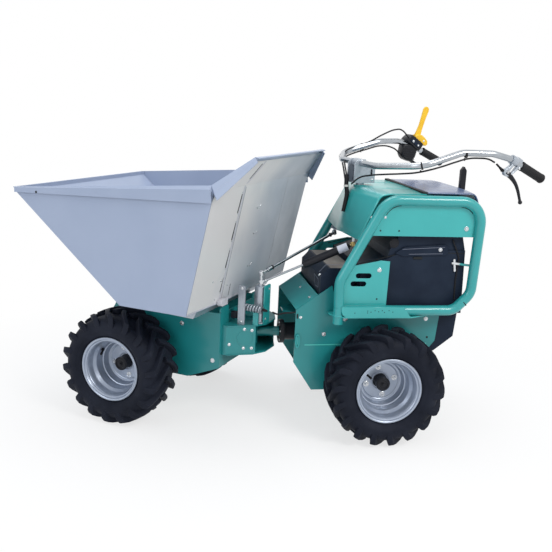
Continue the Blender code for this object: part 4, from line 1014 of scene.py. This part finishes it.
def chassis_details():
    """Bolts, holes, fold lines drawn as painted highlight, tie-down eyes, cover screws and the swivel bearing
    with its ring of bolts.
    """
    for side, tag in SIDES:
        y, n = side * CHASSIS_SIDE, (0, side, 0)
        items = [((x, side * 0.4, z), (0, -side, 0), r, "hex")
                 for x, z, r in ((-0.316, 0.412, 0.0062), (-0.614, 0.412, 0.0058), (-0.242, 0.357, 0.0056))]
        fasten("chassis_bolts_" + tag, "rear_chassis", "rear_half", items)
        holes = [dot(x, y, z, w, n) for x, z, w in ((-0.625, 0.343, 0.008), (-0.368, 0.416, 0.006))]
        inlays("chassis_holes_" + tag, holes, "dark", "rear_half")
        # painted highlight: pale teal strip along the fold
        fold = [((-0.176, y, 0.3175), (-0.623, y, 0.3205), 0.003, n, 0.0012)]
        inlays("chassis_fold_" + tag, fold, "teal_painted_highlight", "rear_half")
        eye = [(-0.148 + 0.006 * cos(a), y + side * 0.0045, 0.333 + 0.023 * sin(a))
               for a in [2 * pi * k / 20 for k in range(21)]]
        curve_piece("tie_down_eye_" + tag, eye, 0.0028, "teal", "rear_half", bez=False, res=4)
        plate("tie_down_foot_" + tag, [(-0.14, 0.319), (-0.156, 0.319), (-0.156, 0.348), (-0.14, 0.348)], "y",
              *sorted((y, y + side * 0.0045)), "teal", "rear_half", 0.0012)
    for x, y, z in ((-0.189, -0.013, 0.48), (-0.191, 0.14, 0.482)):
        fasten(f"cover_screw_{y:.3f}".replace("-", "m").replace(".", "_"), "front_cover", "rear_half",
               [((x + 0.1, y, z + 0.143), (-0.572, 0, -0.82), 0.005, "dome")])
    profile = [(-0.2096, 0), (-0.2096, 0.032), (-0.131, 0.032), (-0.13, 0.0425), (-0.129, 0.044),
               (-0.114, 0.044), (-0.1122, 0.0428), (-0.112, 0.03), (-0.115, 0.028), (-0.115, 0.024),
               (-0.1122, 0.023), (-0.112, 0)]
    turned("swivel_bearing", profile, "x", (0, 0, SWIVEL_Z), "black", "rear_half", 56, ("swivel_flange",))
    ring = [radians(a) for a in range(15, 360, 60)]
    screws("swivel_bolts", [((-0.1126, SWIVEL_R * cos(a), SWIVEL_Z + SWIVEL_R * sin(a)), (1, 0, 0), 0.004,
                             "dome") for a in ring], "bolt", "rear_half")


def rear_door():
    """Seam, ribs and screws of the battery box's rear cover."""
    def spot(y, z):
        """Point of the cover, seen from behind."""
        return skin("battery_box", "rear_half", (-1.2, y, z), (1, 0, 0))

    corners = [(-0.168, 0.472), (0.168, 0.472), (0.168, 0.642), (-0.168, 0.642)]
    seam = [strip(spot, p, q, 0.0026, 0.001) for p, q in edges(corners)]
    inlays("rear_cover_seam", seam, "dark", "rear_half")
    ribs = [strip(spot, (y, 0.5), (y, 0.615), 0.01, 0.0026) for y in (-0.11, -0.055, 0.0, 0.055, 0.11)]
    inlays("rear_cover_ribs", ribs, "box", "rear_half")
    fasten("rear_cover_screws", "battery_box", "rear_half",
           [((-1.2, y, z), (1, 0, 0), 0.0052, "dome") for y in (-0.15, 0.15) for z in (0.488, 0.626)])


rear_door()
loops()
side_sheets()
decks()
bodywork()
rear_lid()
box_details()
chassis_details()


# ---------------------------------------------------------------- handlebar, stem and controls
BAR_R, BAR_Z = 0.0113, 0.9463
HAND_Y = 0.32                             # from the middle to each grip
CHEEK = 0.0278                             # from the middle to the outside of the clamp
BAR_PATH = [(0.012, 0.0, BAR_Z), (0.012, 0.132, BAR_Z), (-0.075, 0.292, 0.962), (-0.23, 0.284, 1.008),
            (-0.33, 0.314, 1.009), (-0.4, HAND_Y, 0.993), (-0.54, HAND_Y - 0.005, 0.928)]
GRIP_AXIS = (Vector(BAR_PATH[-1]) - Vector(BAR_PATH[-2])).normalized()


def mirrored(p, side):
    """Point p, on the given side of the middle."""
    return (p[0], side * p[1], p[2])


def grip(tag, side):
    """Ribbed rubber sleeve with its collar and rounded end."""
    end = Vector(BAR_PATH[-1])
    a, b = end - GRIP_AXIS * 0.0995, end + GRIP_AXIS * 0.0098
    length = (b - a).length
    profile = [(0.0, 0.0113), (0.0, 0.016), (0.002, 0.0168), (0.006, 0.0168), (0.008, 0.0152)]
    ribs = 12
    for i in range(ribs):
        t = 0.012 + (length - 0.028) * i / ribs
        step = (length - 0.028) / ribs
        profile += [(t, 0.015), (t + step * 0.3, 0.016), (t + step * 0.62, 0.016), (t + step * 0.9, 0.015)]
    profile += [(length - 0.014, 0.0158), (length - 0.01, 0.0169), (length - 0.004, 0.0167),
                (length - 0.001, 0.0145), (length, 0.0105), (length, 0)]
    a, b = mirrored(a, side), mirrored(b, side)
    turned("grip_ribbed_" + tag, profile, "z", (0, 0, 0), "grip", BARS, 40, ("grip_" + tag,),
           STEM @ along(a, b))


def bars():
    """Handlebar tube with its grips and cable ties."""
    line = arc_path([mirrored(p, -1) for p in reversed(BAR_PATH[1:])] + BAR_PATH, 0.07, steps=14)
    curve_piece("handlebar_tube", line, BAR_R, "chrome", BARS, replaces=("handlebar",), bez=False, res=10)
    for side, tag in SIDES:
        grip(tag, side)
    bands = bmesh.new()
    for p, q in (((-0.238, 0.2868, 1.0035), (-0.25, 0.29, 1.005)),
                 ((-0.075, 0.2785, 0.961), (-0.084, 0.2845, 0.9638)),
                 ((-0.03, -0.213, 0.95), (-0.036, -0.223, 0.952)),
                 ((-0.15, -0.2905, 0.984), (-0.158, -0.29, 0.986))):
        lathe(bands, ends(0, 0.006, 0.0119, 0.0129), along(p, q), 24)
        m = facing(Vector(p) + Vector((0, 0, -0.013)), (0, 0, -1))
        lathe(bands, [(0, 0.0028), (0.009, 0.002), (0.009, 0)], m, 8)
    from_bm("cable_ties", bands, "cable", BARS)


def clamp():
    """Folded bracket round the stem that holds the bar, with its cap, bolts and side slots."""
    lo, hi = 0.8757, 0.9615
    for side in (1, -1):
        plate(f"clamp_cheek_{side}", [(-0.0445, lo), (0.036, lo), (0.0395, lo + 0.006), (0.0395, hi - 0.016),
                                      (0.026, hi - 0.001), (-0.002, hi - 0.001), (-0.012, hi - 0.012),
                                      (-0.0445, hi - 0.018)], "y", *sorted((side * 0.024, side * CHEEK)),
              "zinc", BARS, 0.0006, holes=(slot_outline(-0.03, lo + 0.04, 0.02, 0.007, radians(90)),))
    plate("clamp_back", [(-0.0236, lo), (0.0236, lo), (0.0236, hi - 0.018), (-0.0236, hi - 0.018)], "x",
          -0.0445, -0.0407, "zinc", BARS, 0.0006)
    plate("clamp_floor", [(-0.0405, -0.0236), (0.0385, -0.0236), (0.0385, 0.0236), (-0.0405, 0.0236)], "z",
          lo, lo + 0.0036, "zinc", BARS, 0.0006, replaces=("bar_clamp",))
    plate("clamp_bridge", [(-0.0405, -0.0236), (-0.002, -0.0236), (-0.002, 0.0236), (-0.0405, 0.0236)], "z",
          0.933, 0.9366, "zinc", BARS, 0.0006)
    turned("bar_saddle", ends(-0.0232, 0.0232, 0.0118, 0.0152), "y", (0.012, 0, BAR_Z), "zinc", BARS, 40,
           closed=True)
    items = [((x, y, 0.9366), (0, 0, 1), 0.0045, "hex") for x in (-0.032, -0.012) for y in (-0.015, 0.015)]
    items += [((x, side * CHEEK, z), (0, side, 0), 0.0042, "dome") for side in (1, -1)
              for x, z in ((-0.034, lo + 0.012), (0.028, lo + 0.014), (0.012, hi - 0.006))]
    items.append(((0, 0, 0.9302), (0, 0, 1), 0.0085, "hex"))
    screws("clamp_screws", items, "bolt", BARS)


def brake():
    """Cast perch round the bar, black blade with its ball end, pivot screw and cable adjuster."""
    outline = [(-0.417, 1.0035), (-0.432, 0.9995), (-0.4505, 0.9885), (-0.443, 0.97), (-0.436, 0.96),
               (-0.426, 0.953), (-0.415, 0.944), (-0.402, 0.935), (-0.39, 0.9335), (-0.379, 0.9385),
               (-0.3745, 0.948), (-0.379, 0.958), (-0.392, 0.965), (-0.403, 0.973), (-0.409, 0.986)]
    hole = [(-0.424, 0.984), (-0.429, 0.97), (-0.418, 0.956), (-0.406, 0.944), (-0.396, 0.948),
            (-0.404, 0.96), (-0.413, 0.97)]
    plate("brake_perch", outline, "y", HAND_Y - 0.0075, HAND_Y + 0.0075, "zinc", BARS, 0.002, holes=(hole,))
    ring = Vector((-0.415, HAND_Y - 0.001, 0.9878))
    turned("brake_ring", ends(-0.011, 0.011, 0.0114, 0.0162), "z", (0, 0, 0), "zinc", BARS, 36,
           at=STEM @ along(ring, ring + GRIP_AXIS), closed=True)
    path = [(-0.386, HAND_Y, 0.949), (-0.4, HAND_Y, 0.9395), (-0.418, HAND_Y, 0.9245),
            (-0.434, HAND_Y, 0.9065), (-0.446, HAND_Y, 0.885), (-0.455, HAND_Y, 0.862),
            (-0.462, HAND_Y - 0.001, 0.845)]
    curve_piece("brake_blade", path, 0.0068, "black", BARS, replaces=("brake_lever",),
                taper=(1.5, 1.35, 1.1, 0.9, 0.8, 0.72, 0.72))
    end = Vector((-0.4625, HAND_Y - 0.001, 0.844))
    turned("brake_ball", [(-0.0075, 0), (-0.0066, 0.0037), (-0.004, 0.0064), (0, 0.0076), (0.004, 0.0064),
                          (0.0066, 0.0037), (0.0075, 0)], "z", end, "black", BARS, 28)
    screws("brake_screws", [((-0.3905, HAND_Y + 0.0075, 0.947), (0, 1, 0), 0.0048, "dome"),
                            ((-0.437, HAND_Y + 0.0075, 0.962), (0, 1, 0), 0.0038, "dome"),
                            ((-0.4235, HAND_Y + 0.0075, 0.995), (0, 1, 0), 0.0038, "dome")], "bolt", BARS)
    bm = bmesh.new()
    lathe(bm, [(0, 0.003), (0.006, 0.003), (0.006, 0.0062), (0.01, 0.0062), (0.011, 0.0046), (0.02, 0.0046),
               (0.021, 0.0034), (0.04, 0.0034), (0.041, 0)], along((-0.377, HAND_Y, 0.95),
                                                                   (-0.338, HAND_Y, 0.981)), 20)
    from_bm("brake_adjuster", bm, "cable", BARS)


def controls():
    """Switch box tilted over a ribbed housing with its own lever, and the raised yellow lever."""
    y0, y1 = -HAND_Y - 0.0295, -HAND_Y + 0.0275
    plate("switch_box", [(-0.3602, 1.0128), (-0.371, 1.0255), (-0.3852, 1.0372), (-0.412, 1.0198),
                         (-0.4412, 0.9998), (-0.435, 0.988), (-0.4215, 0.9708), (-0.396, 0.9865)], "y", y0,
          y1, "black", BARS, 0.0035, replaces=("control_block",))
    plate("switch_face", [(-0.376, 1.0125), (-0.3865, 1.024), (-0.4265, 0.9975), (-0.417, 0.984)], "y", y1,
          y1 + 0.0022, "box", BARS, 0.0009)
    screws("switch_buttons", [((-0.39, y1 + 0.0022, 1.011), (0, 1, 0), 0.0042, "dome"),
                              ((-0.414, y1 + 0.0022, 0.9945), (0, 1, 0), 0.0034, "dome")], "bolt", BARS)
    body = [(-0.351, 0.995), (-0.345, 0.96), (-0.353, 0.944), (-0.364, 0.935), (-0.3935, 0.926),
            (-0.403, 0.938), (-0.4105, 0.953), (-0.4165, 0.979), (-0.39, 1.0)]
    plate("lever_housing", body, "y", -HAND_Y - 0.0205, -HAND_Y + 0.0225, "black", BARS, 0.004)
    for i in range(5):
        z = 0.94 + 0.0095 * i
        left, right = -0.3585 + 0.003 * i, -0.4035 - 0.0026 * i
        curve_piece(f"housing_rib_{i}", [(left, -HAND_Y + 0.0225, z + 0.003),
                                         (right, -HAND_Y + 0.0225, z - 0.003)], 0.0018, "black", BARS,
                    bez=False)
    curve_piece("second_blade", [(-0.392, -HAND_Y, 0.936), (-0.41, -HAND_Y, 0.9255),
                                 (-0.428, -HAND_Y, 0.9155), (-0.445, -HAND_Y, 0.906)], 0.0062, "black", BARS,
                taper=(1.3, 1.1, 0.9, 0.85))
    blade = [(-0.405, 1.0262), (-0.4175, 1.052), (-0.427, 1.076), (-0.4345, 1.105), (-0.44, 1.13),
             (-0.443, 1.142), (-0.448, 1.149), (-0.455, 1.1518), (-0.463, 1.1492), (-0.4674, 1.142),
             (-0.4664, 1.132), (-0.456, 1.105), (-0.4475, 1.078), (-0.441, 1.054), (-0.4375, 1.035),
             (-0.447, 1.028), (-0.4432, 1.0003)]
    plate("yellow_blade", blade, "y", -HAND_Y - 0.0048, -HAND_Y + 0.0048, "yellow", BARS, 0.0022,
          replaces=("yellow_lever",))
    foot = [(-0.4052, 1.0262), (-0.412, 1.037), (-0.426, 1.039), (-0.44, 1.035), (-0.453, 1.0255),
            (-0.4655, 1.0135), (-0.4675, 0.999), (-0.46, 0.9925), (-0.445, 0.9935), (-0.4432, 1.0003)]
    plate("yellow_foot", foot, "y", -HAND_Y - 0.0155, -HAND_Y + 0.0155, "yellow", BARS, 0.003)
    screws("yellow_screws", [((-0.447, -HAND_Y + 0.0155, 1.012), (0, 1, 0), 0.0038, "dome")], "bolt", BARS)


def cables():
    """Brake cable, throttle cable and switch wire along the bar to the bundle that drops past the stem."""
    near = [(-0.339, HAND_Y - 0.002, 0.98), (-0.318, 0.311, 0.99), (-0.285, 0.298, 0.992),
            (-0.25, 0.29, 0.989), (-0.2, 0.288, 0.976), (-0.15, 0.291, 0.962), (-0.1, 0.284, 0.948),
            (-0.07, 0.262, 0.938), (-0.04, 0.215, 0.929), (-0.01, 0.16, 0.921), (0.014, 0.1, 0.911),
            (0.032, 0.052, 0.897), (0.046, 0.024, 0.872)]
    far = [(-0.372, -HAND_Y + 0.022, 1.022), (-0.34, -0.3, 1.052), (-0.3, -0.286, 1.056),
           (-0.24, -0.282, 1.035), (-0.18, -0.284, 1.004), (-0.12, -0.286, 0.984), (-0.08, -0.272, 0.972),
           (-0.045, -0.228, 0.962), (-0.012, -0.17, 0.957), (0.014, -0.11, 0.95), (0.034, -0.06, 0.93),
           (0.046, -0.02, 0.9), (0.05, -0.004, 0.87)]
    low = [(-0.356, -HAND_Y + 0.012, 0.944), (-0.335, -0.306, 0.962), (-0.29, -0.29, 0.984),
           (-0.235, -0.284, 0.99), (-0.17, -0.286, 0.974), (-0.11, -0.288, 0.956), (-0.072, -0.266, 0.946),
           (-0.03, -0.206, 0.938), (0.006, -0.136, 0.932), (0.034, -0.068, 0.915), (0.05, -0.018, 0.88)]
    for name, path in (("brake_cable", near), ("throttle_cable", far), ("switch_wire", low)):
        curve_piece(name, path, 0.003, "cable", BARS, res=4)
    drop = [(0.049, -0.01, 0.902), (0.052, -0.004, 0.868), (0.05, 0.001, 0.836), (0.056, 0.004, 0.8),
            (0.062, 0.006, 0.77)]
    curve_piece("cable_bundle", drop, 0.0078, "cable", BARS, res=5)
    tie = bmesh.new()
    lathe(tie, ends(0, 0.0075, 0.0083, 0.0096), along((0.0518, -0.004, 0.866), (0.0515, -0.003, 0.858)), 24)
    from_bm("bundle_tie", tie, "tie", BARS)


carry("stem", "zinc", 0.0006)
bars()
clamp()
brake()
controls()
cables()


# ---------------------------------------------------------------- drag link and steering damper
def strut(a, b):
    """Place with its Z axis from point a to point b, both in world metres, and their distance."""
    return along(a, b), (Vector(b) - Vector(a)).length


POST_EYE = FRONT @ Vector((-0.06, 0.04, 0.517))
LINK_RISE = Vector((0, 0, 0.033))
BALL = Vector(JOINT["drag_link_swing"]["pos_m"])
STUD = Vector(JOINT["damper_swing"]["pos_m"])


def ball_joint(bm, m, flip=1):
    """Housing of a ball joint: barrel across the rod, its cap and the shank."""
    cross = m @ Matrix.Rotation(radians(90), 4, "X")
    lathe(bm, [(-0.0088, 0), (-0.0088, 0.007), (-0.0074, 0.0086), (0.006, 0.0088), (0.0074, 0.007),
               (0.0086, 0.005), (0.0086, 0)], cross, 24)
    lathe(bm, [(flip * 0.006, 0.0056), (flip * 0.022, 0.0048), (flip * 0.022, 0)], m, 20)


def drag_link():
    """Rod with lock nuts and a ball joint at each end."""
    at, length = strut(BALL, POST_EYE + LINK_RISE)
    profile = [(0.018, 0), (0.018, 0.0044), (0.026, 0.0044), (0.026, 0.005), (length - 0.052, 0.005),
               (length - 0.05, 0.0078), (length - 0.032, 0.0078), (length - 0.03, 0.0046),
               (length - 0.016, 0.0044), (length - 0.016, 0)]
    turned("drag_rod", profile, "z", (0, 0, 0), "chrome", "drag_link", 32, ("drag_link",), at)
    bm = bmesh.new()
    ball_joint(bm, Matrix.Identity(4))
    ball_joint(bm, Matrix.Translation((0, 0, length)), -1)
    from_bm("drag_ball_joints", bm, "bolt", "drag_link", at)
    nuts = bmesh.new()
    hex_head(nuts, Matrix.Translation((0, 0, 0.022)), 0.0082, 0.006, washer=False)
    hex_head(nuts, Matrix.Translation((0, 0, length - 0.058)), 0.0084, 0.006, washer=False)
    from_bm("drag_lock_nuts", nuts, "black", "drag_link", at, angle=25)


def damper():
    """Gas tube with its blank band, bright shaft and the joints at both ends."""
    at, length = strut(STUD, POST_EYE)
    tube = [(0.01, 0), (0.01, 0.0055), (0.014, 0.0065), (0.017, 0.0125), (0.019, 0.0138), (0.058, 0.0138),
            (0.0584, 0.0131), (0.06, 0.0131), (0.0604, 0.0139), (0.18, 0.0139), (0.1815, 0.0134),
            (0.185, 0.0134), (0.1858, 0.0112), (0.1895, 0.0108), (0.1895, 0.0046), (0.17, 0.0044), (0.17, 0)]
    turned("damper_tube", tube, "z", (0, 0, 0), "black", "damper_body", 48, ("damper_body",), at)
    turned("damper_band", ends(0.02, 0.056, 0.01385, 0.0141), "z", (0, 0, 0), "band", "damper_body", 48,
           at=at, closed=True)
    bm = bmesh.new()
    ball_joint(bm, Matrix.Identity(4))
    from_bm("damper_stud_joint", bm, "brass", "damper_body", at)
    turned("damper_shaft", [(0.045, 0), (0.045, 0.004), (length - 0.02, 0.004), (length - 0.016, 0.0056),
                            (length - 0.012, 0.0056), (length - 0.012, 0)], "z", (0, 0, 0), "chrome",
           "damper_rod", 28, ("damper_rod",), at)
    eye = bmesh.new()
    ball_joint(eye, Matrix.Translation((0, 0, length)), -1)
    from_bm("damper_eye", eye, "bolt", "damper_rod", at)


drag_link()
damper()


# ---------------------------------------------------------------- kept shapes
KEPT = {
    # painted shade: chassis, knuckle, tongue and housing in the darker teal
    "frame": ("rear_chassis", "pivot_knuckle", "rear_tongue", "front_chassis", "pivot_housing"),
    "teal": ("front_cover", "head_tube", "post_web", "latch_bracket"),
    "black": ("rear_axle", "front_axle"),
    "box": ("battery_box", "battery_lid", "electronics_box"),
    "skip": ("skip_tub",),
    "zinc": ("skip_underframe", "tip_pin", "latch_bar"),
}
for look, names in KEPT.items():
    for name in names:
        carry(name, look)


# ---------------------------------------------------------------- camera, light, floor
CAMERA_YAW, CAMERA_PITCH, CAMERA_ROLL = radians(-10.298), radians(12.917), radians(2.697)
CAMERA_AT = Vector((0.404, 2.737, 1.163))    # from the ground under the pivot
CAMERA_LENS, CAMERA_SENSOR = 50.93, 36       # millimetres
FLOOR_SIZE = 12
FADE_FROM, FADE_TO, NEAR_WHITE = 0.5, 1.6, 0.68
# name, place, aim, watts, colour, size
LAMPS = (("key", (-2.2, 3.2, 3.4), (0.1, 0.1, 0.5), 95, (1.0, 0.97, 0.93), (1.6, 1.2)),
         ("side", (3.4, 2.6, 2.2), (0.1, 0.0, 0.5), 32, (0.93, 0.96, 1.0), (2.2, 1.6)),
         ("top", (0.2, -0.4, 4.2), (0.1, 0.0, 0.3), 62, (1.0, 1.0, 1.0), (2.6, 2.2)))


def seen_rays(tree):
    """1 for rays that show the background itself: camera, mirror and glass rays."""
    path = node(tree, "LightPath")
    total = path.outputs["Is Camera Ray"]
    for ray in ("Is Glossy Ray", "Is Transmission Ray"):
        add = node(tree, "Math", {0: total, 1: path.outputs[ray]})
        add.use_clamp = True
        total = add.outputs[0]
    return total


def white_surround():
    """World seen by camera, mirror and glass rays as plain white, lighting the rest as soft sky."""
    world = bpy.data.worlds.new("surround")
    bpy.context.scene.world = world
    world.use_nodes = True
    tree = world.node_tree
    fill = tree.nodes["Background"]
    fill.inputs["Color"].default_value = (0.86, 0.92, 1.0, 1)
    fill.inputs["Strength"].default_value = 0.62
    white = node(tree, "Background", Color=(1, 1, 1, 1))
    mix = node(tree, "MixShader", {0: seen_rays(tree), 1: fill.outputs[0], 2: white.outputs[0]})
    tree.links.new(mix.outputs[0], tree.nodes["World Output"].inputs["Surface"])


def lamp(name, at, aim, energy, colour, size):
    """Oblong area lamp at a point, shining toward another."""
    data = bpy.data.lights.new(name, "AREA")
    data.energy = energy
    data.color = colour
    data.shape = "RECTANGLE"
    data.size, data.size_y = size
    ob = bpy.data.objects.new(name, data)
    bpy.context.scene.collection.objects.link(ob)
    ob.matrix_world = along(at, aim) @ Matrix.Rotation(pi, 4, "X")


def camera():
    """Standing off the rear half's left side, looking slightly down."""
    look = Vector((sin(CAMERA_YAW) * cos(CAMERA_PITCH), -cos(CAMERA_YAW) * cos(CAMERA_PITCH),
                   -sin(CAMERA_PITCH)))
    right = Vector((-cos(CAMERA_YAW), -sin(CAMERA_YAW), 0))
    up = right.cross(look)
    c, s = cos(CAMERA_ROLL), sin(CAMERA_ROLL)
    m = Matrix((c * right + s * up, -s * right + c * up, -look)).transposed().to_4x4()
    m.translation = REAR.translation + CAMERA_AT
    data = bpy.data.cameras.new("camera")
    data.sensor_width = CAMERA_SENSOR
    data.lens = CAMERA_LENS
    ob = bpy.data.objects.new("camera", data)
    bpy.context.scene.collection.objects.link(ob)
    ob.matrix_world = m
    bpy.context.scene.camera = ob


def floor():
    """White ground that keeps the machine's shadow and fades to plain white away from it."""
    me = bpy.data.meshes.new("floor")
    bm = bmesh.new()
    bmesh.ops.create_grid(bm, x_segments=1, y_segments=1, size=FLOOR_SIZE)
    bm.to_mesh(me)
    bm.free()
    ob = bpy.data.objects.new("floor", me)
    bpy.context.scene.collection.objects.link(ob)
    m, tree, shader = new_material("ground_white", Base_Color=(0.9, 0.9, 0.9, 1), Roughness=0.9)
    glow = node(tree, "Emission")
    reach = node(tree, "VectorMath", {0: node(tree, "TexCoord").outputs["Object"]})
    reach.operation = "LENGTH"
    away = node(tree, "MapRange", {"Value": reach.outputs["Value"]}, From_Min=FADE_FROM, From_Max=FADE_TO,
                To_Min=NEAR_WHITE, To_Max=1.0)
    share = node(tree, "Math", {0: away.outputs["Result"], 1: seen_rays(tree)})
    share.operation = "MULTIPLY"
    mix = node(tree, "MixShader", {0: share.outputs[0], 1: shader.outputs[0], 2: glow.outputs[0]})
    tree.links.new(mix.outputs[0], tree.nodes["Material Output"].inputs["Surface"])
    me.materials.append(m)


bpy.context.scene.view_settings.view_transform = "Standard"
white_surround()
camera()
floor()
for row in LAMPS:
    lamp(*row)
